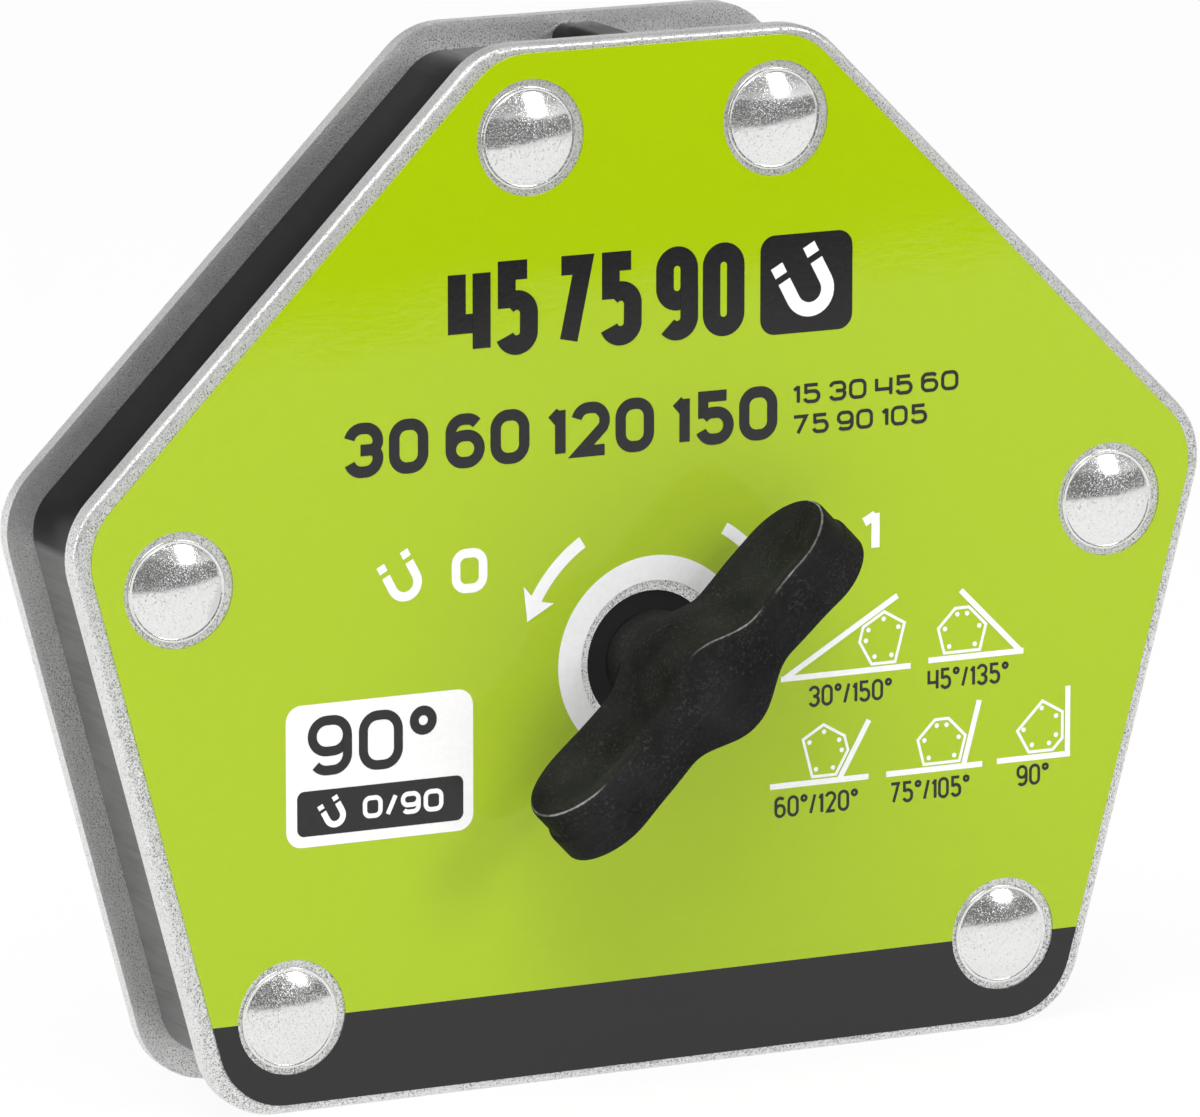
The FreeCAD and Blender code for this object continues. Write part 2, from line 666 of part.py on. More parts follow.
def make_handle():
    """The moulded bar handle, drawn with its bar along X and turned to handle_angle."""
    body = new_body("handle", "hub_height")
    body.Placement.Rotation = FreeCAD.Rotation(FreeCAD.Vector(0, -1, 0), 1)
    bind(body, "Placement.Rotation.Angle", "handle_angle * 1 deg")
    neck, tip = "handle_neck / 2", "handle_tip / 2"
    side = Drawing(body, "XY_Plane", f"-{tip}", "handle_side")
    side.slot("handle_half", "-(handle_front + handle_back) / 2", "handle_depth / 2")
    pad(body, side, "handle_tip", "handle_bar")
    waist = front_drawing(body, "-handle_back + 1", "handle_waist")
    for sign in ("", "-"):
        waist.polygon([("-handle_half", f"{sign}{tip}"), ("0", f"{sign}{neck}"),
                       ("handle_half", f"{sign}{tip}"), ("handle_half", f"{sign}({tip} + 1)"),
                       ("-handle_half", f"{sign}({tip} + 1)")])
    cut(body, waist, "handle_depth + 2", "handle_waisted")
    hub = front_drawing(body, "-handle_back", "handle_hub_plan")
    pad(body, hub.circle("0", "0", "handle_hub_radius"), "handle_depth", "handle_hub")
    hub_size = value("handle_hub_radius") + 1e-3
    round_edges(body, lambda edge: runs_front_to_back(edge)
                and math.hypot(edge.CenterOfMass.x, edge.CenterOfMass.z) < hub_size
                and math.hypot(edge.CenterOfMass.x, edge.CenterOfMass.z) > hub_size - 0.1,
                "handle_hub_blend", "handle_hub_blended")
    front_face = lies_at_depth(-value("handle_front"))
    back_face = lies_at_depth(-value("handle_back"))
    middle = -value("(handle_front + handle_back) / 2")

    def rims(edge):
        on_end = edge.Curve.TypeId != "Part::GeomLine" and abs(edge.CenterOfMass.x) > hub_size
        return front_face(edge) or back_face(edge) or on_end

    def no_joint(edge):
        """Leave out the lines across the bar where its flat meets its round end."""
        across = abs(edge.CenterOfMass.z) < 1e-6
        return rims(edge) and not across
    round_edges(body, no_joint, "handle_edge_round", "handle_edges")
    collar = front_drawing(body, "-handle_hub_gap", "handle_collar_plan")
    collar.circle("0", "0", "handle_hub_radius - handle_edge_round / 2")
    pad(body, collar, "handle_back - handle_hub_gap + handle_edge_round", "handle_collar")
    stem = front_drawing(body, "flange_back", "handle_stem_plan").circle("0", "0", "stem_radius")
    pad(body, stem, "flange_back + handle_hub_gap", "handle_stem")
    groove = Drawing(body, "XY_Plane", "0", "handle_seal_groove")
    depth = "stem_radius - seal_ring_radius + seal_section + drive_clearance"
    groove.box(f"stem_radius - ({depth})", "stem_radius + 1",
               "seal_place - seal_section - drive_clearance",
               "seal_place + seal_section + drive_clearance")
    feature = body.newObject("PartDesign::Groove", "handle_seal_grooved")
    feature.Profile = groove.sketch
    feature.ReferenceAxis = (groove.sketch, ["V_Axis"])
    feature.Angle = 360
    doc.recompute()
    square = Drawing(body, "XZ_Plane", "-flange_back", "handle_square", turn="-handle_angle")
    square.box("-square_hole_half", "square_hole_half", "-square_hole_half", "square_hole_half")
    cut(body, square, "flange_back + spindle_reach", "handle_socket")


def make_seal():
    """A rubber ring in the stem's groove that keeps grit out of the bush."""
    ring = doc.addObject("Part::Torus", "stem_seal")
    ring.Label = "stem_seal"
    ring.Placement.Rotation = FreeCAD.Rotation(FreeCAD.Vector(1, 0, 0), 90)
    bind(ring, "Radius1", "seal_ring_radius")
    bind(ring, "Radius2", "seal_section")
    bind(ring, "Placement.Base.y", "front_y + seal_place")
    bind(ring, "Placement.Base.z", "hub_height")
    BODIES["stem_seal"] = ring


def make_stop_pin():
    """The dowel that stands in the drum's groove; the film covers its outer end."""
    body = new_body("stop_pin", "hub_height")
    end = "drum_front + stop_depth"
    pin = front_drawing(body, end, "stop_pin_plan").circle("stop_x", "stop_z", "stop_pin_radius")
    pad(body, pin, f"{end} - stop_pin_recess", "stop_pin_length")


def make_rear_fastening():
    """The screw, spring washer and plain washer that hold the spindle."""
    inner = "screw_radius + washer_clearance"
    rings = {"retaining_washer": ("washer_front", "lock_washer_front", "washer_radius"),
             "lock_washer": ("lock_washer_front", "head_front", "lock_washer_radius")}
    for name, (front, back, outer) in rings.items():
        turned(name, [(inner, front), (outer, front), (outer, back), (inner, back)])
    body = turned("retaining_screw", [("0", "washer_front - screw_length + 1"),
                                      ("screw_radius", "washer_front - screw_length + 1"),
                                      ("screw_radius", "head_front"),
                                      ("screw_head_radius", "head_front"),
                                      ("screw_head_radius", "head_back"), ("0", "head_back")])
    half = "socket_across_flats / 2"
    corner = "socket_across_flats / sqrt(3)"
    socket = front_drawing(body, "head_back", "screw_socket")
    socket.polygon([(corner, "0"), (f"{corner} / 2", half), (f"-{corner} / 2", half),
                    (f"-{corner}", "0"), (f"-{corner} / 2", f"-{half}"),
                    (f"{corner} / 2", f"-{half}")])
    cut(body, socket, "socket_depth", "screw_socketed")


def make_group(name, pattern, places):
    """Several copies of one turned piece, each its own solid; places are pairs of formulas."""
    doc.recompute()
    copies = []
    for across, up in places:
        copy = pattern.Shape.copy()
        copy.Placement = FreeCAD.Placement(FreeCAD.Vector(value(across), 0, value(up)),
                                           FreeCAD.Rotation())
        copies.append(copy)
    group = doc.addObject("Part::Feature", name)
    group.Label = name
    group.Shape = Part.makeCompound(copies)
    group.Placement = FreeCAD.Placement(FreeCAD.Vector(0, value("front_y"), 0),
                                        FreeCAD.Rotation())
    BODIES[name] = group


def make_rivets():
    """A low dome with a flat rim in front, a shank, and the formed tail behind."""
    rim = "rivet_head_rim"
    tail_rim = "body_depth + rivet_head_rim"
    rivet = turned("rivet", [("0", "-rivet_head_height"), (f"rivet_head_radius - {rim}", f"-{rim}"),
                             ("rivet_head_radius", f"-{rim}"), ("rivet_head_radius", "0"),
                             ("rivet_radius", "0"), ("rivet_radius", "body_depth"),
                             ("rivet_tail_radius", "body_depth"),
                             ("rivet_tail_radius", tail_rim),
                             ("0", "body_depth + rivet_tail_height")],
                   height="0", domes=(0, 7))
    BODIES.pop("rivet")
    make_group("rivets", rivet, RIVET_PLACES)


def make_cap_screws():
    """Two short screws with flush heads that hold the cap on the carrier."""
    screw = turned("cap_screw", [("0", "cap_front - cap_screw_length + 1"),
                                 ("cap_screw_radius", "cap_front - cap_screw_length + 1"),
                                 ("cap_screw_radius", "cap_front"),
                                 ("cap_screw_head_radius", "cap_front"),
                                 ("cap_screw_head_radius", "drum_back"), ("0", "drum_back")],
                   height="0")
    BODIES.pop("cap_screw")
    make_group("cap_screws", screw, [("0", "hub_height + cap_screw_offset"),
                                     ("0", "hub_height - cap_screw_offset")])


def save():
    """Check every object of the document, then write each piece to its own file."""
    doc.recompute()
    for item in doc.Objects:
        if "Invalid" in item.State or "Error" in item.State:
            raise ValueError(f"{item.Name} failed: {item.State}")
    for name, piece in BODIES.items():
        if piece.Shape.isNull() or not piece.Shape.isValid():
            raise ValueError(f"{name} has no valid shape")
    os.makedirs("parts", exist_ok=True)
    for name, piece in BODIES.items():
        piece.Shape.exportStep(f"parts/{name}.step")
        box = piece.Shape.BoundBox
        print(f"{name}: {len(piece.Shape.Solids)} solid(s), {piece.Shape.Volume:.0f} mm3,"
              f" x {box.XMin:.2f}..{box.XMax:.2f}, y {box.YMin:.2f}..{box.YMax:.2f},"
              f" z {box.ZMin:.2f}..{box.ZMax:.2f}")


make_front_plate()
make_plate("rear_plate", "body_depth", "core_back")
make_core()
make_label()
make_rivets()
make_shoes()
make_bushes()
make_stop_pin()
make_carrier()
make_cap()
make_cap_screws()
make_magnets()
make_rotor_poles()
make_spindle()
make_handle()
make_seal()
make_rear_fastening()
save()
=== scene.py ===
"""Looks of a switchable welding magnet holder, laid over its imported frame.

Metres, +Z up, the front looks along -Y and the block stands on its base edges. There is one
section for each piece, or group of like pieces, in the order in which the block is put together.
"""
import json
import math

import bmesh
import bpy
import numpy as np
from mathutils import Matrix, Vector


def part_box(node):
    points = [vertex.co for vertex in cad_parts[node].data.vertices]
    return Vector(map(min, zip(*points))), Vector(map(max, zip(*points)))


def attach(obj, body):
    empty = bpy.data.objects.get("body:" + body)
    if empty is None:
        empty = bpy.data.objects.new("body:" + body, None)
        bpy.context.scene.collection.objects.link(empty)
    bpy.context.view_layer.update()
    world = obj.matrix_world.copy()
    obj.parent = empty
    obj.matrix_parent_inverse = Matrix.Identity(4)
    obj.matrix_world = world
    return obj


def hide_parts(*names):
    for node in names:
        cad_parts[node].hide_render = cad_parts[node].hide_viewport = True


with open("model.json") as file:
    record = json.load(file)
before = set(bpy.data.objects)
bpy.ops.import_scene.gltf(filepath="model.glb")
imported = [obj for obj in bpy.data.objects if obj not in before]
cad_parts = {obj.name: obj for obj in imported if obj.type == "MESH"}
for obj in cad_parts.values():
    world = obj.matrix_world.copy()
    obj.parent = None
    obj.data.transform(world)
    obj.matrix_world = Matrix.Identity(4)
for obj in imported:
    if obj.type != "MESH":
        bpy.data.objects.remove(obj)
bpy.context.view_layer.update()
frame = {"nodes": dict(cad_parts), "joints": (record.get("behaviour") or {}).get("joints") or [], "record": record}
nodes = frame["nodes"]
MM = 0.001


# ---------------------------------------------------------------------------------------
# Side plates. Two hexagons blanked from steel sheet, tumbled until their edges are soft,
# then zinc plated. The tumbling leaves fine dark specks; the edges are lighter, partly
# rubbed by handling and partly a painted highlight.

def add(tree, kind, inputs=(), **settings):
    """Add one shader node; inputs holds numbers, colours or other nodes' sockets."""
    node = tree.nodes.new("ShaderNode" + kind)
    for name, setting in settings.items():
        setattr(node, name, setting)
    for socket, source in dict(inputs).items():
        if isinstance(source, bpy.types.NodeSocket):
            tree.links.new(source, node.inputs[socket])
        else:
            node.inputs[socket].default_value = source
    return node


def maths(tree, operation, *terms):
    """The result of one sum on numbers or sockets."""
    return add(tree, "Math", dict(enumerate(terms)), operation=operation).outputs[0]


def between(tree, source, low, high, start=0.0, end=1.0):
    """Carry a value's range low..high over to start..end, and hold it there beyond."""
    inputs = {"Value": source, "From Min": low, "From Max": high, "To Min": start, "To Max": end}
    return add(tree, "MapRange", inputs).outputs["Result"]


def mixed(tree, mask, first, second):
    """The first colour where the mask is 0 and the second where it is 1."""
    inputs = {"Factor": mask, 6: first, 7: second}
    return add(tree, "Mix", inputs, data_type="RGBA").outputs[2]


def clouds(tree, place, scale, detail=2.0, roughness=0.5):
    """A noise of so many lumps to the metre."""
    inputs = {"Vector": place, "Scale": scale, "Detail": detail, "Roughness": roughness}
    return add(tree, "TexNoise", inputs).outputs["Fac"]


def on_piece(tree, stretch=(1, 1, 1), turn=0.0):
    """The piece's own coordinates, drawn out along axes that are turned about Y."""
    source = add(tree, "TexCoord").outputs["Object"]
    inputs = {"Vector": source, "Scale": stretch, "Rotation": (0, math.radians(turn), 0)}
    return add(tree, "Mapping", inputs, vector_type="TEXTURE").outputs["Vector"]


def new_group(name, inputs, outputs):
    """An empty node group of number sockets, with its input and output sockets."""
    tree = bpy.data.node_groups.new(name, "ShaderNodeTree")
    for label, default in inputs.items():
        socket = tree.interface.new_socket(label, in_out="INPUT", socket_type="NodeSocketFloat")
        socket.default_value = default
    for label in outputs:
        tree.interface.new_socket(label, in_out="OUTPUT", socket_type="NodeSocketFloat")
    return tree, tree.nodes.new("NodeGroupInput").outputs, tree.nodes.new("NodeGroupOutput").inputs


def use_group(tree, group, **values):
    """Place a group in a material with its own values."""
    node = add(tree, "Group", node_tree=group)
    for label, number in values.items():
        node.inputs[label.replace("_", " ")].default_value = number
    return node.outputs


def new_material(name, **sockets):
    """A material with its own Principled shader, and that shader's plain values."""
    material = bpy.data.materials.new(name)
    material.use_nodes = True
    tree = material.node_tree
    shader = tree.nodes["Principled BSDF"]
    for label, number in sockets.items():
        shader.inputs[label.replace("_", " ")].default_value = number
    return material, tree, shader


def feed(tree, shader, **sources):
    """Join sockets to the shader's own inputs."""
    for label, source in sources.items():
        tree.links.new(source, shader.inputs[label.replace("_", " ")])


def bumped(tree, height, depth):
    """A normal from a height of 0..1 that stands for a depth in metres."""
    inputs = {"Height": height, "Distance": depth, "Strength": 1.0}
    return add(tree, "Bump", inputs).outputs["Normal"]


def dress(material, *names):
    """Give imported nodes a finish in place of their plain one."""
    for name in names:
        for place in nodes[name].material_slots:
            place.material = material


def speckle_group():
    """Specks where two noises rise above a level, thinned and gathered by a third, broad one."""
    tree, given, result = new_group("speckle", {"Specks to metre": 2600.0, "Share": 0.5},
                                    ["Specks", "Cloud"])
    place = on_piece(tree)
    cloud = clouds(tree, place, 55.0, 3.0, 0.6)
    level = maths(tree, "MULTIPLY_ADD", given["Share"], -0.22, 0.72)
    level = maths(tree, "MULTIPLY_ADD", cloud, -0.16, maths(tree, "ADD", level, 0.08))
    large = clouds(tree, place, given["Specks to metre"], 1.5, 0.6)
    fine = clouds(tree, place, maths(tree, "MULTIPLY", given["Specks to metre"], 2.3), 1.0)
    spots = [between(tree, noise, level, maths(tree, "ADD", level, 0.09))
             for noise in (large, maths(tree, "SUBTRACT", fine, 0.02))]
    tree.links.new(maths(tree, "MAXIMUM", *spots), result["Specks"])
    tree.links.new(cloud, result["Cloud"])
    return tree


def outline_group():
    """How far a place lies inside the hexagon: the least distance to the lines of its sides."""
    tree, given, result = new_group("in from the outline", {"Reach": 0.002}, ["Edge"])
    place = add(tree, "TexCoord").outputs["Object"]
    folded = add(tree, "VectorMath", {0: place}, operation="ABSOLUTE").outputs[0]
    nearest = 1.0
    for mount in frame["record"]["mounts"]:
        if "left" in mount["name"]:
            continue
        outward = mount["axis"]
        along = add(tree, "VectorMath", {0: folded, 1: outward}, operation="DOT_PRODUCT")
        side = sum(there * out for there, out in zip(mount["pos_m"], outward))
        inside = maths(tree, "SUBTRACT", side, along.outputs["Value"])
        nearest = maths(tree, "MINIMUM", nearest, inside)
    tree.links.new(between(tree, nearest, 0.0, given["Reach"], 1.0, 0.0), result["Edge"])
    return tree


speckle = speckle_group()
outline = outline_group()


def make_plate_steel():
    """Light grey zinc with dark specks that are dull and a little sunk; lighter at the edge, partly rubbed and
    partly a painted highlight.
    """
    material, tree, shader = new_material("zinc plated plate", Metallic=0.78)
    specks = use_group(tree, speckle, Specks_to_metre=4300.0, Share=0.72)
    edge = use_group(tree, outline, Reach=0.0011)["Edge"]
    # Lighter, rougher band at the edges: partly rubbed zinc, partly a painted highlight.
    wear_and_painted_sheen = maths(tree, "MULTIPLY", edge, between(tree, specks["Cloud"], 0.35, 0.6, 0.5, 1.0))
    zinc = mixed(tree, between(tree, specks["Cloud"], 0.35, 0.65),
                 (0.74, 0.74, 0.735, 1), (0.88, 0.88, 0.875, 1))
    grain = clouds(tree, on_piece(tree), 5200.0, 2.0, 0.6)
    zinc = mixed(tree, between(tree, grain, 0.52, 0.66, 0.0, 0.6), zinc, (0.95, 0.95, 0.94, 1))
    zinc = mixed(tree, maths(tree, "MULTIPLY", specks["Specks"], 0.8), zinc, (0.12, 0.12, 0.12, 1))
    run = on_piece(tree, stretch=(1, 1, 28), turn=64)
    scratches = between(tree, clouds(tree, run, 1400.0, 2.0, 0.5), 0.7, 0.76, 0.0, 0.45)
    zinc = mixed(tree, scratches, zinc, (0.80, 0.80, 0.79, 1))
    zinc = mixed(tree, maths(tree, "MULTIPLY", wear_and_painted_sheen, 0.6), zinc, (0.86, 0.86, 0.85, 1))
    height = maths(tree, "MULTIPLY_ADD", specks["Specks"], -1.0, maths(tree, "MULTIPLY", grain, 0.6))
    height = maths(tree, "MULTIPLY_ADD", scratches, -0.8, height)
    rough = maths(tree, "MULTIPLY_ADD", specks["Specks"], 0.25, 0.3)
    rough = maths(tree, "MULTIPLY_ADD", wear_and_painted_sheen, 0.12, rough)
    feed(tree, shader, Base_Color=zinc, Roughness=rough, Normal=bumped(tree, height, 0.00004))
    return material


plate_steel = make_plate_steel()
dress(plate_steel, "front_plate", "rear_plate")


# ---------------------------------------------------------------------------------------
# Core. One moulding in black glass-filled plastic that spaces the plates apart and boxes in
# the magnet drum. Its outside shows between the plates, satin, with a faint eroded texture.

def moulding_group():
    """A moulded skin: a fine eroded grain and a slow waviness of sink marks and flow."""
    tree, given, result = new_group("moulded skin", {"Grains to metre": 3500.0},
                                    ["Grain", "Flow"])
    place = on_piece(tree)
    coarse = clouds(tree, place, given["Grains to metre"], 3.0, 0.65)
    fine = clouds(tree, place, maths(tree, "MULTIPLY", given["Grains to metre"], 2.9), 2.0)
    grain = maths(tree, "MULTIPLY_ADD", fine, 0.5, maths(tree, "MULTIPLY", coarse, 0.7))
    tree.links.new(grain, result["Grain"])
    tree.links.new(clouds(tree, place, 90.0, 3.0, 0.55), result["Flow"])
    return tree


moulded_skin = moulding_group()


def make_core_plastic():
    """Satin black; below the side corners its flanks carry a painted sheen, grey streaks along
    their length. The mount on a lower side lies halfway up it, so the corner is twice as high."""
    material, tree, shader = new_material("black core moulding", Specular_IOR_Level=0.22)
    skin = use_group(tree, moulded_skin, Grains_to_metre=3200.0)
    shade = mixed(tree, between(tree, skin["Flow"], 0.35, 0.65),
                  (0.002, 0.002, 0.002, 1), (0.005, 0.005, 0.005, 1))
    up = add(tree, "SeparateXYZ", {0: on_piece(tree)}).outputs["Z"]
    corner = next(mount["pos_m"][2] for mount in frame["record"]["mounts"]
                  if mount["name"] == "lower_right_edge") * 2
    sheen_starts, sheen_is_full = corner - 3.5 * MM, corner - 4.5 * MM
    lines = clouds(tree, on_piece(tree, stretch=(1, 14, 1)), 1500.0, 3.0, 0.6)
    # Painted sheen: grey streaks on the lower flanks stand in for the pale floor's reflection in the satin
    # plastic.
    wear_and_painted_sheen = maths(tree, "MULTIPLY", between(tree, up, sheen_starts, sheen_is_full),
                   between(tree, lines, 0.3, 0.7, 0.65, 1.0))
    wear_and_painted_sheen = maths(tree, "MULTIPLY", wear_and_painted_sheen, between(tree, skin["Flow"], 0.3, 0.6, 0.75, 1.0))
    shade = mixed(tree, wear_and_painted_sheen, shade, (0.15, 0.15, 0.147, 1))
    rough = maths(tree, "MULTIPLY_ADD", skin["Flow"], 0.2, 0.22)
    height = maths(tree, "MULTIPLY_ADD", lines, 0.5, skin["Grain"])
    feed(tree, shader, Base_Color=shade, Roughness=rough, Normal=bumped(tree, height, 0.00001))
    return material


core_plastic = make_core_plastic()
dress(core_plastic, "core_frame")


# ---------------------------------------------------------------------------------------
# Pole shoes, their pads and the stop pin. Ground steel blocks slid into the core beside the
# drum, each held off one plate by a brass pad; the pin is pressed through the front plate.

def brushing_group():
    """Fine lines left by grinding: noise drawn out along X."""
    tree, given, result = new_group("ground lines", {"Lines to metre": 5000.0},
                                    ["Lines", "Stain"])
    across = on_piece(tree, stretch=(25, 1, 1))
    tree.links.new(clouds(tree, across, given["Lines to metre"], 3.0, 0.6), result["Lines"])
    tree.links.new(clouds(tree, on_piece(tree), 160.0, 4.0, 0.6), result["Stain"])
    return tree


ground_lines = brushing_group()


def make_ground_metal(name, dark, pale, roughness, lines=5000.0):
    """A ground or plated metal; dark and pale are the ends of its staining."""
    material, tree, shader = new_material(name, Metallic=1.0)
    skin = use_group(tree, ground_lines, Lines_to_metre=lines)
    shade = mixed(tree, between(tree, skin["Stain"], 0.35, 0.65), (*dark, 1), (*pale, 1))
    rough = maths(tree, "MULTIPLY_ADD", skin["Lines"], 0.2, roughness - 0.1)
    feed(tree, shader, Base_Color=shade, Roughness=rough,
         Normal=bumped(tree, skin["Lines"], 0.000008))
    return material


pole_steel = make_ground_metal("ground pole steel", (0.33, 0.33, 0.34), (0.45, 0.45, 0.46), 0.35)
pad_brass = make_ground_metal("sheet brass", (0.62, 0.44, 0.16), (0.76, 0.58, 0.27), 0.33)
pin_steel = make_ground_metal("bright pin steel", (0.50, 0.50, 0.51), (0.60, 0.60, 0.61), 0.25)
dress(pole_steel, "pole_shoe_left", "pole_shoe_right", "rotor_pole_left", "rotor_pole_right")
dress(pad_brass, "shoe_pad_left", "shoe_pad_right")
dress(pin_steel, "stop_pin", "spindle")


# ---------------------------------------------------------------------------------------
# Bushes. Flanged rings in black acetal, pressed into both plates; they carry the handle's
# stem and the spindle's journal, and their smooth end faces show round the hub.

def make_moulded_plastic(name, dark, pale, roughness, depth, grains, shine=0.5):
    """A moulded plastic; dark and pale are the ends of its slight change of shade."""
    material, tree, shader = new_material(name, Specular_IOR_Level=shine)
    skin = use_group(tree, moulded_skin, Grains_to_metre=grains)
    shade = mixed(tree, between(tree, skin["Flow"], 0.35, 0.65), (*dark, 1), (*pale, 1))
    rough = maths(tree, "MULTIPLY_ADD", skin["Flow"], 0.2, roughness - 0.1)
    feed(tree, shader, Base_Color=shade, Roughness=rough,
         Normal=bumped(tree, skin["Grain"], depth))
    return material


bush_plastic = make_moulded_plastic("black acetal", (0.004, 0.004, 0.004),
                                    (0.007, 0.007, 0.007), 0.42, 0.000006, 2500.0, 0.2)
dress(bush_plastic, "front_bush", "rear_bush")


# ---------------------------------------------------------------------------------------
# Drum. A die-cast carrier with its screwed cover, and two nickel-plated magnets between two
# steel segments. All of it is shut inside the core.

def make_cast_alloy():
    """Dull die-cast alloy with a pebbled skin."""
    material, tree, shader = new_material("die cast alloy", Metallic=1.0)
    skin = use_group(tree, moulded_skin, Grains_to_metre=1500.0)
    shade = mixed(tree, between(tree, skin["Flow"], 0.35, 0.65),
                  (0.42, 0.43, 0.44, 1), (0.56, 0.57, 0.58, 1))
    rough = maths(tree, "MULTIPLY_ADD", skin["Grain"], 0.25, 0.35)
    feed(tree, shader, Base_Color=shade, Roughness=rough,
         Normal=bumped(tree, skin["Grain"], 0.00003))
    return material


cast_alloy = make_cast_alloy()
magnet_plating = make_ground_metal("nickel plating", (0.62, 0.60, 0.56), (0.70, 0.68, 0.64), 0.18)
fastener_steel = make_ground_metal("plated fastener", (0.52, 0.52, 0.51), (0.66, 0.66, 0.65), 0.3,
                                   lines=9000.0)
dress(cast_alloy, "rotor_carrier", "rotor_cap")
dress(magnet_plating, "rotor_magnet_upper", "rotor_magnet_lower")
dress(fastener_steel, "cap_screws", "retaining_washer")


# ---------------------------------------------------------------------------------------
# Rivets. Six solid rivets of bright steel: low domed heads in front, each with a narrow
# coined ring at its rim, plain shanks, and flattened tails formed over the rear plate.

def grid_faces(rows, columns, round_rows, round_columns):
    """Quads between neighbours of a grid of points, wrapped where the grid closes on itself."""
    row = np.arange(rows if round_rows else rows - 1)
    column = np.arange(columns if round_columns else columns - 1)
    here, across = np.meshgrid(row, column, indexing="ij")
    below = (here + 1) % rows
    beside = (across + 1) % columns
    corners = (here * columns + across, here * columns + beside,
               below * columns + beside, below * columns + across)
    return np.stack(corners, axis=-1).reshape(-1, 4)


def make_piece(name, sheets, material, body, stands_for, crease, wear=None):
    """One mesh piece from several sheets, each its points and its faces, in metres.

    Points that meet are merged, faces are turned outwards, and edges sharper than crease
    degrees stay sharp. The highlight weight is a number for each point, kept with the mesh for
    its finish, which paints a highlight where it is high.
    """
    points, faces, count = [], [], 0
    for corners, quads in sheets:
        corners = np.asarray(corners, dtype=float).reshape(-1, 3)
        points.append(corners)
        faces.extend((np.asarray(quad) + count).tolist() for quad in quads)
        count += len(corners)
    mesh = bpy.data.meshes.new(name)
    mesh.from_pydata(np.concatenate(points).tolist(), [], faces)
    if wear is not None:
        mesh.attributes.new("wear", "FLOAT", "POINT").data.foreach_set("value", wear.ravel())
    shaping = bmesh.new()
    shaping.from_mesh(mesh)
    bmesh.ops.remove_doubles(shaping, verts=shaping.verts, dist=1e-7)
    bmesh.ops.recalc_face_normals(shaping, faces=shaping.faces)
    shaping.to_mesh(mesh)
    shaping.free()
    mesh.shade_smooth()
    mesh.set_sharp_from_angle(angle=math.radians(crease))
    mesh.materials.append(material)
    piece = bpy.data.objects.new(name, mesh)
    bpy.context.scene.collection.objects.link(piece)
    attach(piece, body)
    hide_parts(stands_for)
    return piece


def turned(profile, centre):
    """A profile of (radius, y) carried round the line along Y through centre (x, z)."""
    count = 96
    radius, depth = np.asarray(profile, dtype=float).T
    round_it = np.linspace(0, 2 * math.pi, count, endpoint=False)
    x = centre[0] + radius[:, None] * np.cos(round_it)
    z = centre[1] + radius[:, None] * np.sin(round_it)
    y = np.repeat(depth[:, None], count, axis=1)
    return np.stack([x, y, z], axis=-1), grid_faces(len(radius), count, False, True)


def arc(centre, radius, start, end, count):
    """Points (radius, y) on an arc; angles in degrees from outwards towards the rear."""
    angle = np.radians(np.linspace(start, end, count))
    return np.stack([centre[0] + radius * np.cos(angle), centre[1] + radius * np.sin(angle)], 1)


def dome(radius, height, foot, side, count):
    """A spherical cap from its middle out to radius; it stands height off foot, towards side."""
    ball = (radius ** 2 + height ** 2) / (2 * height)
    out = np.linspace(0, radius, count)
    rise = np.sqrt(ball ** 2 - out ** 2) - (ball - height)
    return np.stack([out, foot + side * rise], 1)


def make_rivets():
    """Each rivet's place is the middle of its head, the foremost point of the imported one."""
    packed = nodes["rivets"].data
    points = np.empty(len(packed.vertices) * 3)
    packed.vertices.foreach_get("co", points)
    points = points.reshape(-1, 3)
    tops = points[points[:, 1] < points[:, 1].min() + 1e-6]
    places = np.unique(np.round(tops[:, [0, 2]], 6), axis=0)
    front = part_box("front_plate")[0].y
    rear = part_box("rear_plate")[1].y
    rim, head, shank, tail = 6.1 * MM, 1.6 * MM, 3.0 * MM, 5.0 * MM
    tail_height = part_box("rivets")[1].y - rear
    tail_side, tail_bevel = 0.5 * MM, 0.8 * MM
    edge = 0.16 * MM
    ring, groove_depth = 0.34 * MM, 0.04 * MM
    cap = dome(rim - 1.5 * ring, head - ring, front - ring, -1, 30)
    groove = [(rim - 1.35 * ring, front - ring + groove_depth), (rim - 1.1 * ring, front - ring)]
    corner = arc((rim - edge, front - ring + edge), edge, -90, 0, 6)
    behind = [(rim, front), (shank, front), (shank, rear)]
    formed = arc((tail - edge, rear + tail_side), edge, 0, 90, 5)
    back = dome(tail - tail_bevel, tail_height - tail_side - edge, rear + tail_side + edge, 1, 16)
    profile = np.concatenate([cap, groove, corner, behind, [(tail, rear)], formed, back[::-1]])
    sheets = [turned(profile, place) for place in places]
    return make_piece("riveted_pins", sheets, make_rivet_metal(), "block",
                      "rivets", crease=50.0)


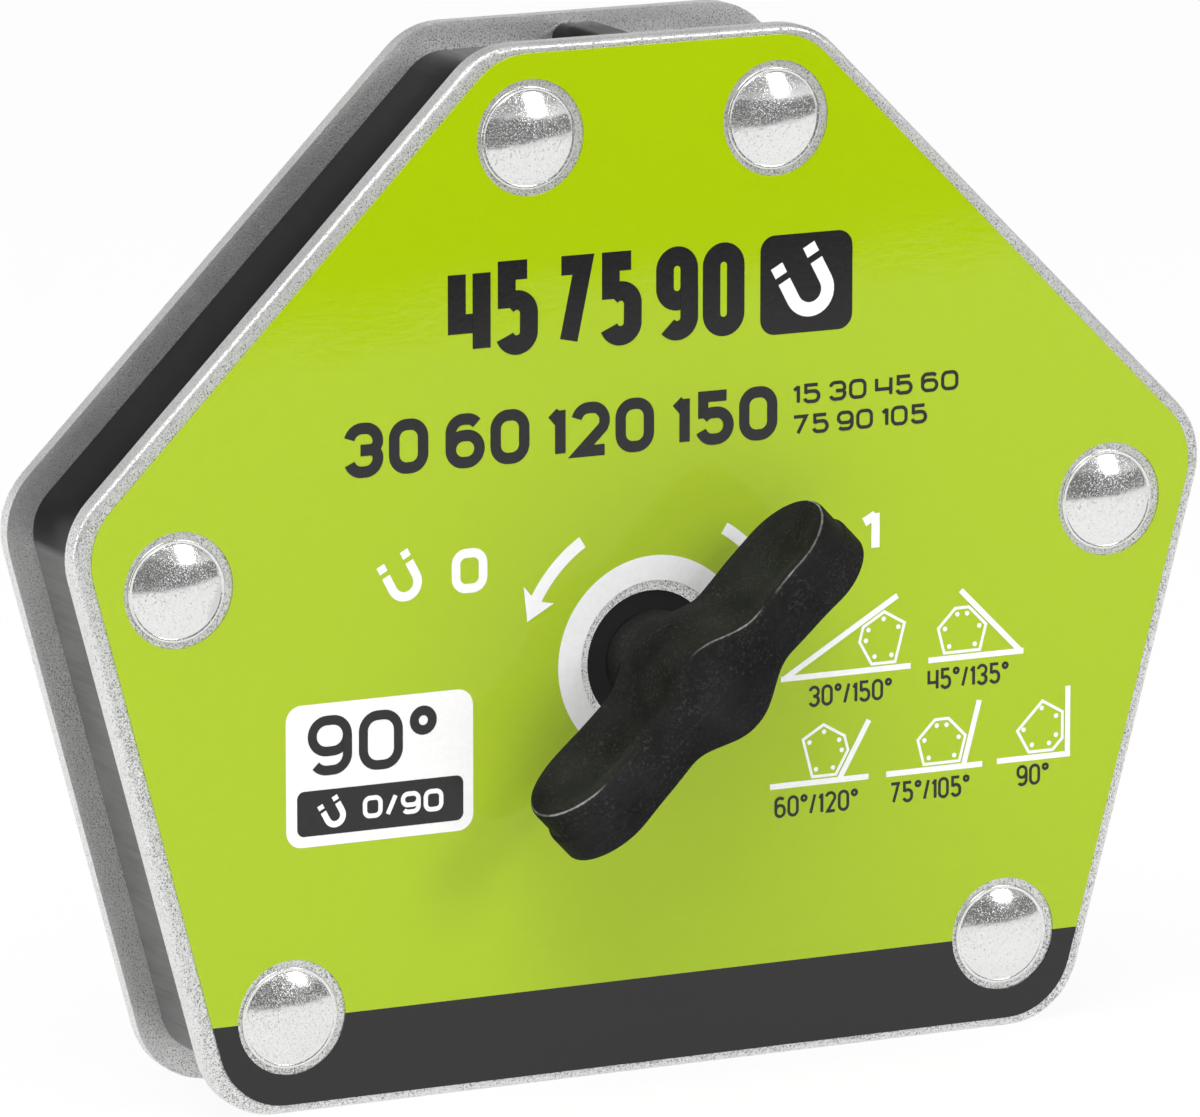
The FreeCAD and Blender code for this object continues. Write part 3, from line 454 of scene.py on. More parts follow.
def make_rivet_metal():
    """Bright metal, dulled by fine pits in a patch, with a few scratches and dents."""
    material, tree, shader = new_material("bright rivet", Metallic=0.85)
    specks = use_group(tree, speckle, Specks_to_metre=4200.0, Share=0.55)
    scratch_run = on_piece(tree, stretch=(1, 1, 14), turn=38)
    scratches = between(tree, clouds(tree, scratch_run, 1900.0, 2.0, 0.6), 0.66, 0.74)
    dents = clouds(tree, on_piece(tree), 420.0, 2.0, 0.5)
    shade = mixed(tree, maths(tree, "MULTIPLY", specks["Specks"], 0.35),
                  (0.82, 0.82, 0.815, 1), (0.36, 0.36, 0.35, 1))
    shade = mixed(tree, maths(tree, "MULTIPLY", scratches, 0.3), shade, (0.55, 0.55, 0.54, 1))
    rough = maths(tree, "MULTIPLY_ADD", specks["Specks"], 0.22, 0.14)
    rough = maths(tree, "MULTIPLY_ADD", scratches, 0.1, rough)
    marks = maths(tree, "MULTIPLY_ADD", specks["Specks"], -0.25, maths(tree, "MULTIPLY", dents, 0.8))
    marks = maths(tree, "MULTIPLY_ADD", scratches, -0.2, marks)
    feed(tree, shader, Base_Color=shade, Roughness=rough, Normal=bumped(tree, marks, 0.00004))
    return material


make_rivets()


# ---------------------------------------------------------------------------------------
# Front film. A printed and laminated film stuck on the front plate: bright green, with a
# near-black band along the base. It lies flat, with a very slight ripple in its gloss.

def make_printed_film():
    """Green above the band's edge and near black below it, under a smooth gloss."""
    band_height = 10.3 * MM
    band_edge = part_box("front_label")[0].z + band_height
    material, tree, shader = new_material("printed film", Roughness=0.07)
    place = add(tree, "TexCoord").outputs["Object"]
    up = add(tree, "SeparateXYZ", {0: place}).outputs["Z"]
    green_part = maths(tree, "GREATER_THAN", up, band_edge)
    fibre = clouds(tree, place, 6000.0, 2.0)
    green = mixed(tree, between(tree, fibre, 0.3, 0.7), (0.345, 0.490, 0.001, 1),
                  (0.357, 0.504, 0.002, 1))
    ink = mixed(tree, between(tree, fibre, 0.3, 0.7), (0.004, 0.004, 0.004, 1),
                (0.008, 0.008, 0.008, 1))
    ripple = clouds(tree, place, 60.0, 2.0, 0.4)
    orange_peel = clouds(tree, on_piece(tree, stretch=(2.5, 1, 1)), 1500.0, 2.0, 0.6)
    height = maths(tree, "MULTIPLY_ADD", orange_peel, 0.06, ripple)
    feed(tree, shader, Base_Color=mixed(tree, green_part, ink, green),
         Normal=bumped(tree, height, 0.00008))
    return material


printed_film = make_printed_film()
dress(printed_film, "front_label")


# ---------------------------------------------------------------------------------------
# Printing. Screen-printed marks on the film, in white and in near-black ink: a ring round
# the hub, turn arrows with 0 and 1, a magnet sign, and the angles that the block can hold.

film_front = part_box("front_label")[0].y
hub_x = (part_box("front_label")[0].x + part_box("front_label")[1].x) / 2
hub_z = frame["joints"][0]["pos_m"][2]
ink_height = 0.03 * MM


def flat_sheet(points, faces, layer=1):
    """Points (x, z) in millimetres laid on the film, as many ink layers up as said, with
    every face turned to the front: those that run clockwise are read backwards."""
    across, up = np.asarray(points, dtype=float).reshape(-1, 2).T * MM
    depth = np.full_like(across, film_front - layer * ink_height)
    turned_right = []
    for face in faces:
        x, z = across[face], up[face]
        area = np.dot(x, np.roll(z, -1)) - np.dot(z, np.roll(x, -1))
        turned_right.append(list(face) if area > 0 else list(face)[::-1])
    return np.stack([across, depth, up], axis=1), turned_right


def stroke(path, width, closed=False, layer=1):
    """A line of even width: the path is moved half a width to each side, and at a corner the
    moved sides meet on its bisector, half a width over the cosine of half the turn away."""
    path = np.asarray(path, dtype=float)
    path = path[np.linalg.norm(np.roll(path, -1, axis=0) - path, axis=1) > 1e-6]
    ahead = np.roll(path, -1, axis=0) - path
    if not closed:
        ahead[-1] = ahead[-2]
    ahead /= np.linalg.norm(ahead, axis=1, keepdims=True)
    behind = np.roll(ahead, 1, axis=0)
    if not closed:
        behind[0] = ahead[0]
    normal = np.stack([ahead[:, 1] + behind[:, 1], -ahead[:, 0] - behind[:, 0]], 1)
    normal /= 1 + np.sum(ahead * behind, axis=1, keepdims=True)
    sides = np.stack([path + normal * width / 2, path - normal * width / 2], axis=1)
    return flat_sheet(sides, grid_faces(len(path), 2, closed, False), layer)


def ring_path(centre, radius, start=0.0, end=360.0, count=49):
    """Points on a circle, from one angle in degrees to another."""
    angle = np.radians(np.linspace(start, end, count))
    return np.stack([centre[0] + radius * np.cos(angle), centre[1] + radius * np.sin(angle)], 1)


def filled(border, middle=None, layer=1):
    """A flat shape fanned out from its middle to its border."""
    border = np.asarray(border, dtype=float)
    middle = border.mean(axis=0) if middle is None else np.asarray(middle, dtype=float)
    count = len(border)
    here = np.arange(count)
    fan = np.stack([here, (here + 1) % count, np.full(count, count)], axis=1)
    return flat_sheet(np.vstack([border, middle]), fan, layer)


def rounded_box(left, right, low, high, radius):
    """The border of a box with quarter-round corners."""
    corners = ((right - radius, high - radius, 0), (left + radius, high - radius, 90),
               (left + radius, low + radius, 180), (right - radius, low + radius, 270))
    return np.concatenate([ring_path((x, z), radius, start, start + 90, 9)
                           for x, z, start in corners])


def figure_lines(wide, high):
    """The pen's paths for each figure in a box, and if they are closed: straight runs joined
    by round bends, no wider than the box, so that narrow figures keep their counters."""
    bend = min(wide / 2, 0.31 * high)
    loop = max(0.6 * high, 2 * bend)
    waist = min(bend, high / 2 - bend)
    right = wide - bend
    crown = np.vstack([ring_path((bend, high - bend), bend, 165, 90, 11),
                       ring_path((right, high - bend), bend, 90, 0, 11)])
    sole = np.vstack([ring_path((right, bend), bend, 0, -90, 11),
                      ring_path((bend, bend), bend, -90, -160, 11)])
    nought = rounded_box(0, wide, 0, high, bend)
    bowl = rounded_box(0, wide, 0, loop, bend)
    hook = np.vstack([[(0, loop - bend)], ring_path((bend, high - bend), bend, 180, 90, 13),
                      ring_path((right, high - bend), bend, 90, 40, 7)])
    throat = ring_path((wide - waist, high / 2 + waist), waist, -10, -90, 9)
    chin = ring_path((wide - waist, high / 2 - waist), waist, 90, 10, 9)
    belly = np.vstack([ring_path((bend, loop - bend), bend, 140, 90, 7),
                       ring_path((right, loop - bend), bend, 90, 0, 11)])
    slope = ring_path((right, high - bend), bend, -10, -32, 5)
    stem = 0.1 * wide
    return {
        "0": [(nought, True)],
        "1": [([(0, 0.76 * high), (0.3 * wide, 0.95 * high)], False),
              ([(0.3 * wide, high), (0.3 * wide, 0)], False)],
        "2": [(np.vstack([crown, slope, [(0.16 * wide, 0), (wide, 0)]]), False)],
        "3": [(np.vstack([crown, throat, [(0.4 * wide, high / 2)]]), False),
              (np.vstack([[(0.4 * wide, high / 2)], chin, sole]), False)],
        "4": [([(0, high), (0, 0.34 * high), (wide, 0.34 * high)], False),
              ([(wide, high), (wide, 0)], False)],
        "5": [([(0.93 * wide, high), (stem, high), (stem, 0.5 * high)], False),
              (np.vstack([belly, sole[1:]]), False)],
        "6": [(bowl, True), (hook, False)],
        "7": [([(0, high), (0.9 * wide, high), (0.3 * wide, 0)], False)],
        "9": [((wide, high) - bowl, True), ((wide, high) - hook, False)],
        "°": [(ring_path((0.26 * wide, high - 0.26 * wide), 0.26 * wide, count=25)[:-1], True)],
        "/": [([(0, 0), (0.5 * wide, high)], False)],
    }


def numerals(text, left, low, width, height, weight, layer=1):
    """Plain figures drawn with a pen and fitted to a box on the film: each is as wide as its
    own path, and a fifth of a figure's width and the pen's own lie between two."""
    share = {"1": 0.3, "°": 0.52, "/": 0.5, " ": 0.2}
    apart = 0.2
    spread = [share.get(figure, 1.0) for figure in text]
    inked = len(text) - text.count(" ")
    unit = (width - inked * weight) / (sum(spread) + apart * (len(text) - 1))
    drawn = figure_lines(unit, height - weight)
    sheets, across = [], left + weight / 2
    for figure, room in zip(text, spread):
        for number, (path, closed) in enumerate(drawn.get(figure, ())):
            place = np.asarray(path) + (across, low + weight / 2)
            sheets.append(stroke(place, weight, closed, layer + number))
        across += (room + apart) * unit + (weight if figure in drawn else 0)
    return sheets


def turn_arrow(centre, radius, tail, tip, width, barb):
    """A curved arrow: an arc that ends in a swallow-tailed head."""
    bend = math.copysign(1, tip - tail)
    neck = tip - bend * math.degrees(barb * 1.15 / radius)
    shaft = stroke(ring_path(centre, radius, tail, neck, 17), width)
    point = ring_path(centre, radius, tip, tip, 1)[0]
    notch = ring_path(centre, radius, neck, neck, 1)[0]
    swept = math.radians(neck - bend * math.degrees(barb * 0.35 / radius))
    ray = np.array([math.cos(swept), math.sin(swept)])
    barbs = [np.asarray(centre) + ray * (radius + side * barb) for side in (1, -1)]
    return [shaft, filled([point, barbs[0], notch, barbs[1]], (point + notch) / 2, layer=2)]


def magnet_sign(centre, size, width, layer):
    """A horseshoe magnet, tilted, with its two tips set off by a gap."""
    bend = ring_path((0, 0), size, 180, 360, 17)
    legs = np.vstack([[(-size, size * 1.1)], bend, [(size, size * 1.1)]])
    tips = [np.array([(side * size, size * 1.45), (side * size, size * 2.0)]) for side in (-1, 1)]
    tilt = math.radians(28)
    turn = np.array([[math.cos(tilt), math.sin(tilt)], [-math.sin(tilt), math.cos(tilt)]])
    return [stroke(path @ turn + centre, width, layer=layer) for path in (legs, *tips)]


def angle_sign(left, low, length, foot, spin, facing, reach):
    """A table line with a small block that stands on one of its own sides, and a line that
    leans along the block's side that faces the given way, and meets the table at foot."""
    gap, pen, thin_pen, dot = 0.7, 0.7, 0.36, 0.3
    scale = 0.043
    half = np.array([(56, 0), (75, 71), (21.4, 124.5)]) * scale
    block = np.concatenate([half, half[::-1] * (-1, 1)])
    turn = math.radians(spin)
    block = block @ [[math.cos(turn), math.sin(turn)], [-math.sin(turn), math.cos(turn)]]
    block[:, 1] += low + gap - block[:, 1].min()
    facing = math.radians(facing)
    normal = np.array([math.cos(facing), math.sin(facing)])
    block[:, 0] += foot - ((block @ normal).max() + gap - low * normal[1]) / normal[0]
    upward = np.array([-normal[1], normal[0]]) * math.copysign(1, normal[0])
    start = np.array([foot, low])
    middle = (block.min(axis=0) + block.max(axis=0)) / 2
    dots = [filled(ring_path(middle + (corner - middle) * 0.72, dot, count=13)[:-1])
            for corner in block]
    return [stroke([(left, low), (left + length, low)], pen),
            stroke([start, start + upward * reach], pen, layer=2),
            stroke(block, thin_pen, closed=True), *dots]


def make_ink(name, dark, pale):
    """Ink with a slight unevenness; dark and pale are the ends of its shade."""
    material, tree, shader = new_material(name, Roughness=0.15)
    cover = clouds(tree, on_piece(tree), 1500.0, 4.0, 0.6)
    feed(tree, shader, Base_Color=mixed(tree, between(tree, cover, 0.3, 0.7), (*dark, 1), (*pale, 1)),
         Normal=bumped(tree, cover, 0.000004))
    return material


def print_on_film(name, sheets, ink):
    """Join the marks of one ink, and give each its thickness: every face is closed by a
    second one, behind it and reversed, and by walls along the edges that it has to itself."""
    shaping = bmesh.new()
    for points, faces in sheets:
        corners = [shaping.verts.new(point) for point in points]
        for face in faces:
            shaping.faces.new([corners[number] for number in face])
    bmesh.ops.remove_doubles(shaping, verts=shaping.verts, dist=1e-7)
    mesh = bpy.data.meshes.new(name)
    shaping.to_mesh(mesh)
    shaping.free()
    mesh.materials.append(ink)
    piece = bpy.data.objects.new(name, mesh)
    bpy.context.scene.collection.objects.link(piece)
    layer = piece.modifiers.new("ink", "SOLIDIFY")
    layer.thickness = ink_height * 0.9
    layer.offset = -1.0
    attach(piece, "block")


hub_mm = (hub_x / MM, hub_z / MM)
hub_ring, ring_width = 11.0, 3.0
turn_reach, arrow_width, arrow_barb = 17.6, 1.5, 2.3
small_height, small_pen = 2.4, 0.42
angle_height, angle_pen = 2.6, 0.36
white = [stroke(ring_path(hub_mm, hub_ring, count=97)[:-1], ring_width, closed=True)]
white += turn_arrow(hub_mm, turn_reach, 122, 160, arrow_width, arrow_barb)
white += turn_arrow(hub_mm, turn_reach, 58, 20, arrow_width, arrow_barb)
white += magnet_sign((-32.1, 62.2), 1.7, 1.1, layer=1)
white += numerals("0", -26.0, 60.2, 4.6, 5.3, 1.1)
white += numerals("1", 27.7, 60.2, 2.6, 5.3, 1.1)
white += [filled(rounded_box(-47.4, -23.3, 31.8, 48.8, 2.0))]
white += angle_sign(17.2, 45.9, 17.4, 17.6, 75, 120, 17.5)
white += angle_sign(37.0, 46.3, 12.9, 49.5, 0, 45, 11.6)
white += angle_sign(15.8, 32.9, 13.2, 25.0, -75, -30, 8.0)
white += angle_sign(31.4, 32.9, 13.0, 41.8, 0, -15, 8.2)
white += angle_sign(46.4, 33.0, 10.0, 56.0, -135, 0, 8.4)
white += magnet_sign((20.8, 92.7), 2.4, 1.7, layer=2)
white += magnet_sign((-41.2, 35.3), 1.05, 0.75, layer=3)
white += numerals("0/90", -37.6, 34.5, 10.4, 2.7, 0.55, layer=3)
dark = [filled(rounded_box(14.3, 26.5, 87.6, 99.5, 1.9))]
dark += numerals("45 75 90", -26.4, 88.0, 38.6, 11.2, 2.3)
dark += numerals("30 60 120 150", -39.8, 75.1, 56.4, 6.5, 1.35)
dark += numerals("15 30 45 60", 18.6, 79.0, 22.2, small_height, small_pen)
dark += numerals("75 90 105", 18.6, 75.3, 18.0, small_height, small_pen)
dark += [filled(rounded_box(-46.0, -24.6, 33.1, 38.5, 0.9), layer=2)]
dark += numerals("90°", -44.6, 40.2, 16.6, 7.1, 1.15, layer=2)
for text, x, z, width in (("30°/150°", 20.9, 42.1, 11.2), ("45°/135°", 36.9, 42.6, 11.0),
                          ("60°/120°", 16.4, 29.0, 11.2), ("75°/105°", 31.9, 29.2, 10.8),
                          ("90°", 49.1, 29.6, 4.4)):
    dark += numerals(text, x, z, width, angle_height, angle_pen)
print_on_film("white_print", white, make_ink("white ink", (0.82, 0.82, 0.82), (0.87, 0.87, 0.87)))
print_on_film("dark_print", dark, make_ink("dark ink", (0.004, 0.004, 0.004), (0.008, 0.008, 0.008)))


# ---------------------------------------------------------------------------------------
# Handle. A bar moulded in black plastic with half-round ends and a hub that swells out of
# it; the mould's two halves meet down the middle of the rim and leave a fine raised line.

handle_low, handle_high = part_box("handle")
handle_front = handle_low.y + 0.1 * MM
handle_depth = 15.3 * MM
handle_half = 25.1 * MM
neck_half, tip_half, hub_half = 3.1 * MM, 4.0 * MM, 6.3 * MM
edge_round = 0.75 * MM
handle_turn = math.radians(43.5)


def half_width(x):
    """Half the bar's width at x along it: a straight taper out to the tips, and over the hub
    one wave of a raised cosine."""
    taper = neck_half + (tip_half - neck_half) * np.abs(x) / handle_half
    reach = 8.9 * MM
    wave = 0.5 + 0.5 * np.cos(math.pi * np.clip(x / reach, -1, 1))
    return taper + (hub_half - neck_half) * wave


def handle_bar():
    """The bar: u runs round the stadium of its side view and v from the middle of one cheek,
    over the rim, to the middle of the other. Each point lies on the ray from the stadium's
    middle line to its border; the cheeks stand half a width off the middle plane. The rim
    carries the mould's line and step, with flash at the tips, and away from the hub the cheeks
    are a little hollow."""
    round_half = handle_depth / 2
    spine_half = handle_half - round_half
    run, end = 80, 40
    straight = np.linspace(-1, 1, run + 1)[:-1] * spine_half
    bend = np.linspace(0, math.pi, end + 1)[:-1]
    tip = np.full(end, spine_half)
    spine = np.concatenate([straight, tip, -straight, -tip])
    ray_x = np.concatenate([np.zeros(run), np.sin(bend), np.zeros(run), -np.sin(bend)])
    ray_y = np.concatenate([-np.ones(run), -np.cos(bend), np.ones(run), np.cos(bend)])
    cheek = np.linspace(0, 1, 15)[:-1] * (round_half - edge_round)
    corner = np.linspace(0, math.pi / 2, 9)
    share = np.linspace(1, -1, 33)[1:-1]
    share = np.sign(share) * np.abs(share) ** 1.7
    out = np.concatenate([cheek, round_half - edge_round * (1 - np.sin(corner)),
                          np.full(len(share), round_half)])
    fall = np.concatenate([np.zeros(len(cheek)), edge_round * (1 - np.cos(corner))])
    out = np.concatenate([out, out[:len(fall)][::-1]])
    x = spine[:, None] + ray_x[:, None] * out
    width = half_width(x)
    upper = width[:, :len(fall)] - fall
    rim = (width[:, len(fall):len(fall) + len(share)] - edge_round) * share
    lower = -(width[:, -len(fall):] - fall[::-1])
    z = np.concatenate([upper, rim, lower], axis=1)
    at_rim = np.clip((out - (round_half - edge_round)) / edge_round, 0, 1)
    line_height, step_height, step_width = 0.13 * MM, 0.09 * MM, 0.08 * MM
    flash_height, flash_edge = 0.28 * MM, 0.1 * MM
    ridge = np.exp(-(z / line_height) ** 2)
    half_step = step_height * np.tanh(-z / step_width)
    at_tips = np.abs(ray_x[:, None]) ** 6
    flash = flash_height * at_tips * (0.5 + 0.5 * np.tanh((-z - flash_edge) / flash_edge))
    raised = (line_height * ridge + half_step - step_height + flash) * at_rim
    hollow_depth, hollow_slope = 0.35 * MM, 2.6 * MM
    plain_reach, fade_reach = 8, 6
    inside = np.clip((round_half - edge_round - out) / hollow_slope, 0, 1)
    sunk = 0.5 - 0.5 * np.cos(math.pi * inside)
    sunk = sunk * np.clip((np.abs(x) / MM - plain_reach) / fade_reach, 0, 1)
    z = z - np.sign(z) * hollow_depth * sunk * (at_rim < 1e-6)
    x = x + ray_x[:, None] * raised
    y = handle_front + round_half + ray_y[:, None] * (out + raised)
    unevenness = 0.05 * MM
    slow, quick = np.sin(x * 310 + 1.0) * np.cos(y * 420), np.sin(x * 830 + y * 500) * 0.5
    z = z + unevenness * (slow + quick)
    along = x * math.cos(handle_turn) - z * math.sin(handle_turn)
    up = x * math.sin(handle_turn) + z * math.cos(handle_turn)
    points = np.stack([along, y, hub_z + up], axis=-1)
    # Where the material paints a highlight: across the rounded edges, and a little along the parting line.
    wear = np.sin(math.pi * at_rim) ** 2 + 0.45 * ridge * at_rim ** 4
    return points, grid_faces(*x.shape, True, False), wear


def make_handle():
    """The bar, and the hub's collar and stem turned in one run below it. The hub is drawn
    solid: the spindle's square socket can't be seen."""
    plate_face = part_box("front_plate")[0].y
    behind = handle_high.y
    collar, stem = 6.2 * MM, 5.6 * MM
    collar_front, collar_side, collar_edge = 6 * MM, 5 * MM, 0.4 * MM
    lip = plate_face - 0.8 * MM
    profile = np.concatenate([[(0, lip - collar_front), (collar - 1 * MM, lip - collar_front)],
                              [(collar, lip - collar_side)],
                              arc((collar - collar_edge, lip - collar_edge), collar_edge, 0, 90, 6),
                              [(stem, lip), (stem, behind), (0, behind)]])
    *bar, bar_painted_highlight_weight = handle_bar()
    hub = turned(profile, (0.0, hub_z))
    wear = np.concatenate([bar_painted_highlight_weight.ravel(), np.zeros(hub[0].size // 3)])
    return make_piece("handle_moulding", [bar, hub], make_handle_plastic(), "rotor",
                      "handle", crease=60.0, wear=wear)


def make_handle_plastic():
    """Black with a rough grain, fine scuffs and grey flecks; along its edges and its parting line
    the material paints a highlight in broken pale lines. For mirrored rays it glows, a painted
    light, so that the film carries no more than a faint image of it."""
    material, tree, shader = new_material("black handle moulding", Specular_IOR_Level=0.02)
    mirrored = add(tree, "LightPath").outputs["Is Glossy Ray"]
    # Painted light: for glossy rays the handle glows white at 0.72, so that its reflection in the film is pale.
    painted_glow = maths(tree, "MULTIPLY", mirrored, 0.72)
    skin = use_group(tree, moulded_skin, Grains_to_metre=2600.0)
    painted_edge_weight = add(tree, "Attribute", attribute_name="wear").outputs["Fac"]
    patches = between(tree, clouds(tree, on_piece(tree), 260.0, 3.0, 0.6), 0.42, 0.6)
    shade = mixed(tree, between(tree, skin["Flow"], 0.35, 0.65),
                  (0.009, 0.009, 0.009, 1), (0.020, 0.020, 0.020, 1))
    flecks = between(tree, clouds(tree, on_piece(tree), 2300.0, 4.0, 0.8), 0.53, 0.7)
    along = on_piece(tree, stretch=(4, 2, 1), turn=-35)
    scuffs = between(tree, clouds(tree, along, 3600.0, 4.0, 0.75), 0.6, 0.74)
    marks = maths(tree, "MULTIPLY", maths(tree, "MAXIMUM", flecks, scuffs),
                  maths(tree, "MULTIPLY_ADD", patches, 0.6, 0.2))
    shade = mixed(tree, marks, shade, (0.075, 0.075, 0.073, 1))
    grit = clouds(tree, on_piece(tree), 1700.0, 4.0, 0.8)
    stretches = between(tree, clouds(tree, on_piece(tree), 75.0, 2.0, 0.5), 0.46, 0.57, 0.0, 1.0)
    # Painted highlight: broken pale lines along the edges and the parting line stand in for the light that the
    # rounded edges catch.
    painted_highlight = maths(tree, "MULTIPLY", between(tree, maths(tree, "ADD", painted_edge_weight, grit), 1.08, 1.5),
                 maths(tree, "MULTIPLY", maths(tree, "MULTIPLY_ADD", patches, 0.6, 0.4), stretches))
    shade = mixed(tree, painted_highlight, shade, (0.30, 0.30, 0.29, 1))
    rough = maths(tree, "MULTIPLY_ADD", painted_highlight, -0.2, 0.52)
    height = maths(tree, "MULTIPLY_ADD", marks, 0.5, skin["Grain"])
    feed(tree, shader, Base_Color=shade, Roughness=rough, Normal=bumped(tree, height, 0.00012),
         Emission_Strength=painted_glow)
    return material


make_handle()


# ---------------------------------------------------------------------------------------
# Stem seal. A thin ring of nitrile rubber in the stem's groove, down inside the bush.

seal_rubber = make_moulded_plastic("nitrile rubber", (0.008, 0.008, 0.008),
                                   (0.014, 0.014, 0.014), 0.6, 0.00001, 4000.0)
dress(seal_rubber, "stem_seal")


# ---------------------------------------------------------------------------------------
# Rear fastening. A socket screw with a rolled thread, on a split spring washer, holds the
# spindle from behind; the spring washer is one turn of square wire, cut through.

def make_lock_washer():
    """One turn, cut and slightly wound apart: a square section carried along a helix."""
    low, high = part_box("lock_washer")
    outer = high.x
    inner = 2.1 * MM
    rise = 0.12 * MM
    gap = math.radians(9)
    count = 120
    angle = np.linspace(gap, 2 * math.pi - gap, count) + math.radians(70)
    lift = np.linspace(0, rise, count)
    radius = np.array([inner, outer, outer, inner])
    depth = np.array([0.0, 0.0, high.y - low.y - rise, high.y - low.y - rise])
    x = np.cos(angle)[:, None] * radius
    z = hub_z + np.sin(angle)[:, None] * radius
    y = low.y + lift[:, None] + depth
    points = np.stack([x, y, z], axis=-1)
    sides = len(radius)
    ends = [list(range(sides)), list(range(sides * (count - 1), sides * count))]
    sheets = [(points, [*grid_faces(count, sides, False, True).tolist(), *ends])]
    piece = make_piece("spring_washer", sheets, fastener_steel, "rotor",
                       "lock_washer", crease=30.0)
    soften = piece.modifiers.new("edges", "BEVEL")
    soften.width = 0.06 * MM
    soften.segments = 2
    soften.limit_method = "ANGLE"
    return piece


def make_retaining_screw():
    """The screw in one run from its tip: a thread whose radius follows a triangle wave of
    pitch along Y and turn, then the head, and its six-sided socket down to a cone."""
    low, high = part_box("retaining_screw")
    head_front = high.y - 2.2 * MM
    head, shank, pitch, across = 3.5 * MM, 1.93 * MM, 0.7 * MM, 2.5 * MM
    thread_depth, head_edge = 0.38 * MM, 0.3 * MM
    socket_edge, socket_depth, cone_depth = 0.08 * MM, 1.3 * MM, 1.75 * MM
    count = 96
    turn = np.linspace(0, 2 * math.pi, count, endpoint=False)
    run = np.linspace(low.y + 0.4 * MM, head_front - 0.8 * MM, 150)
    wave = np.abs(((run[:, None] / pitch - turn / (2 * math.pi)) % 1) - 0.5) * 2
    thread = shank - thread_depth * wave
    sixth = (turn + math.pi / 6) % (math.pi / 3) - math.pi / 6
    socket = across / 2 / np.cos(sixth)
    plain = np.ones(count)
    corner = arc((head - head_edge, high.y - head_edge), head_edge, 0, 90, 6)
    rows = [(0 * plain, low.y), ((shank - 0.5 * MM) * plain, low.y)]
    rows += list(zip(thread, run))
    rows += [(shank * plain, head_front - 0.7 * MM), (shank * plain, head_front),
             ((head - 0.1 * MM) * plain, head_front), (head * plain, head_front + 0.1 * MM)]
    rows += [(radius * plain, depth) for radius, depth in corner]
    rows += [(socket * 1.07, high.y), (socket, high.y - socket_edge),
             (socket, high.y - socket_depth), (0 * plain, high.y - cone_depth)]
    radius = np.array([row for row, _ in rows])
    depth = np.array([place for _, place in rows])
    points = np.stack([radius * np.cos(turn), np.repeat(depth[:, None], count, axis=1),
                       hub_z + radius * np.sin(turn)], axis=-1)
    sheets = [(points, grid_faces(len(rows), count, False, True))]
    return make_piece("socket_screw", sheets, fastener_steel, "rotor",
                      "retaining_screw", crease=35.0)


make_lock_washer()
make_retaining_screw()


# ---------------------------------------------------------------------------------------
# Stage. A pale floor and a white surround, one soft box overhead and two soft side lights,
# a dark screen in front that only reflections see, and the camera.

def make_floor():
    """A wide pale sheet; to the camera and in reflections most of its tone is its own, so
    that it stays white."""
    reach = 8.0
    corners = np.array([(-reach, -reach, 0), (reach, -reach, 0), (reach, reach, 0),
                        (-reach, reach, 0)])
    mesh = bpy.data.meshes.new("floor")
    mesh.from_pydata(corners.tolist(), [], [[0, 1, 2, 3]])
    material, tree, shader = new_material("floor", Base_Color=(0.95, 0.95, 0.95, 1), Roughness=0.9)
    seen = add(tree, "LightPath").outputs
    plain_white = add(tree, "Emission", {"Color": (1, 1, 1, 1), "Strength": 1.0})
    looked_at = maths(tree, "MAXIMUM", seen["Is Camera Ray"], seen["Is Transmission Ray"])
    looked_at = maths(tree, "MAXIMUM", looked_at, seen["Is Glossy Ray"])
    own_tone = 0.93
    share = maths(tree, "MULTIPLY", looked_at, own_tone)
    both = add(tree, "MixShader", {0: share, 1: shader.outputs[0], 2: plain_white.outputs[0]})
    tree.links.new(both.outputs[0], tree.nodes["Material Output"].inputs["Surface"])
    mesh.materials.append(material)
    floor = bpy.data.objects.new("floor", mesh)
    bpy.context.scene.collection.objects.link(floor)


def make_surround():
    """A white world, dimmer as light than as background; in reflections it is bright near the
    horizon and grey overhead, as a studio is."""
    world = bpy.data.worlds.new("surround")
    world.use_nodes = True
    tree = world.node_tree
    seen = add(tree, "LightPath").outputs
    looked_at = maths(tree, "MAXIMUM", seen["Is Camera Ray"], seen["Is Transmission Ray"])
    direction = add(tree, "TexCoord").outputs["Generated"]
    up = add(tree, "SeparateXYZ", {0: direction}).outputs["Z"]
    as_light, more_low_down, less_overhead = 0.5, 0.5, -0.3
    rise = between(tree, up, 0.14, 0.36, more_low_down, less_overhead)
    mirrored = maths(tree, "MULTIPLY", seen["Is Glossy Ray"], rise)
    shade = tree.nodes["Background"]
    shade.inputs["Color"].default_value = (1, 1, 1, 1)
    strength = maths(tree, "MAXIMUM", looked_at, maths(tree, "ADD", mirrored, as_light))
    tree.links.new(strength, shade.inputs["Strength"])
    bpy.context.scene.world = world


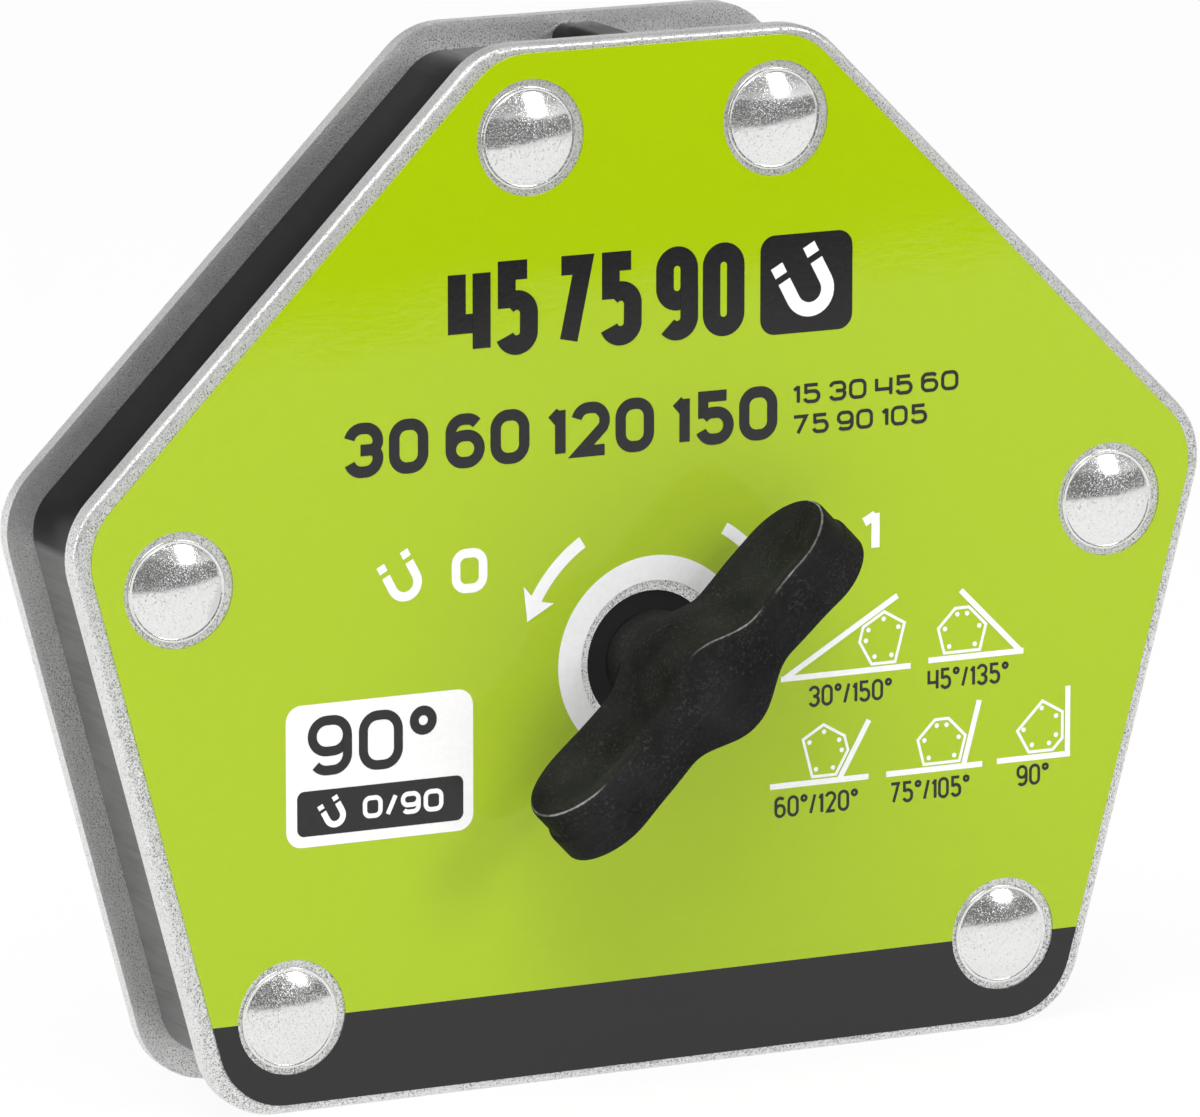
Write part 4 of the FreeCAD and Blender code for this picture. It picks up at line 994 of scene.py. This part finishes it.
def make_softbox(name, place, aim, size, power):
    """A rectangular soft light at a place, turned to face a point."""
    light = bpy.data.lights.new(name, "AREA")
    light.shape = "RECTANGLE"
    light.size, light.size_y = size
    light.energy = power
    lamp = bpy.data.objects.new(name, light)
    direction = np.subtract(aim, place)
    lamp.location = place
    lamp.rotation_mode = "QUATERNION"
    lamp.rotation_quaternion = Vector(direction).to_track_quat("-Z", "Y")
    bpy.context.scene.collection.objects.link(lamp)


def make_screen(name, path, low, high):
    """A black screen, upright along a path, that only shows in glossy surfaces."""
    corners = [(x, y, z) for x, y in path for z in (low, high)]
    mesh = bpy.data.meshes.new(name)
    mesh.from_pydata(corners, [], grid_faces(len(path), 2, False, False).tolist())
    material, tree, shader = new_material(name, Base_Color=(0.004, 0.004, 0.004, 1),
                                          Roughness=1.0, Specular_IOR_Level=0.0)
    mesh.materials.append(material)
    screen = bpy.data.objects.new(name, mesh)
    screen.visible_camera = False
    screen.visible_diffuse = False
    screen.visible_shadow = False
    screen.visible_transmission = False
    bpy.context.scene.collection.objects.link(screen)


def make_camera():
    """The camera looks from the left and a little above, from over a metre away."""
    view = bpy.data.cameras.new("camera")
    view.lens = 319.68
    view.clip_start = 0.05
    camera = bpy.data.objects.new("camera", view)
    camera.location = (-0.5460, -1.10366, 0.31705)
    camera.rotation_mode = "QUATERNION"
    camera.rotation_quaternion = Vector((0.430653, 0.879373, -0.20308)).to_track_quat("-Z", "Y")
    bpy.context.scene.collection.objects.link(camera)
    bpy.context.scene.camera = camera


make_floor()
make_surround()
block_middle = (0, 0, 0.06)
make_softbox("overhead", (-0.35, -0.45, 1.1), block_middle, (0.9, 0.7), 10.0)
make_softbox("left", (-1.2, -0.1, 0.5), block_middle, (0.5, 0.9), 4.0)
make_softbox("right", (0.62, -0.98, 0.62), block_middle, (0.34, 0.5), 4.5)
make_screen("dark_screen", [(-0.42, -0.15), (0.0, -0.37), (0.45, -0.46), (0.8, -0.12)], 0.012, 0.20)
make_camera()
bpy.context.scene.view_settings.view_transform = "Standard"
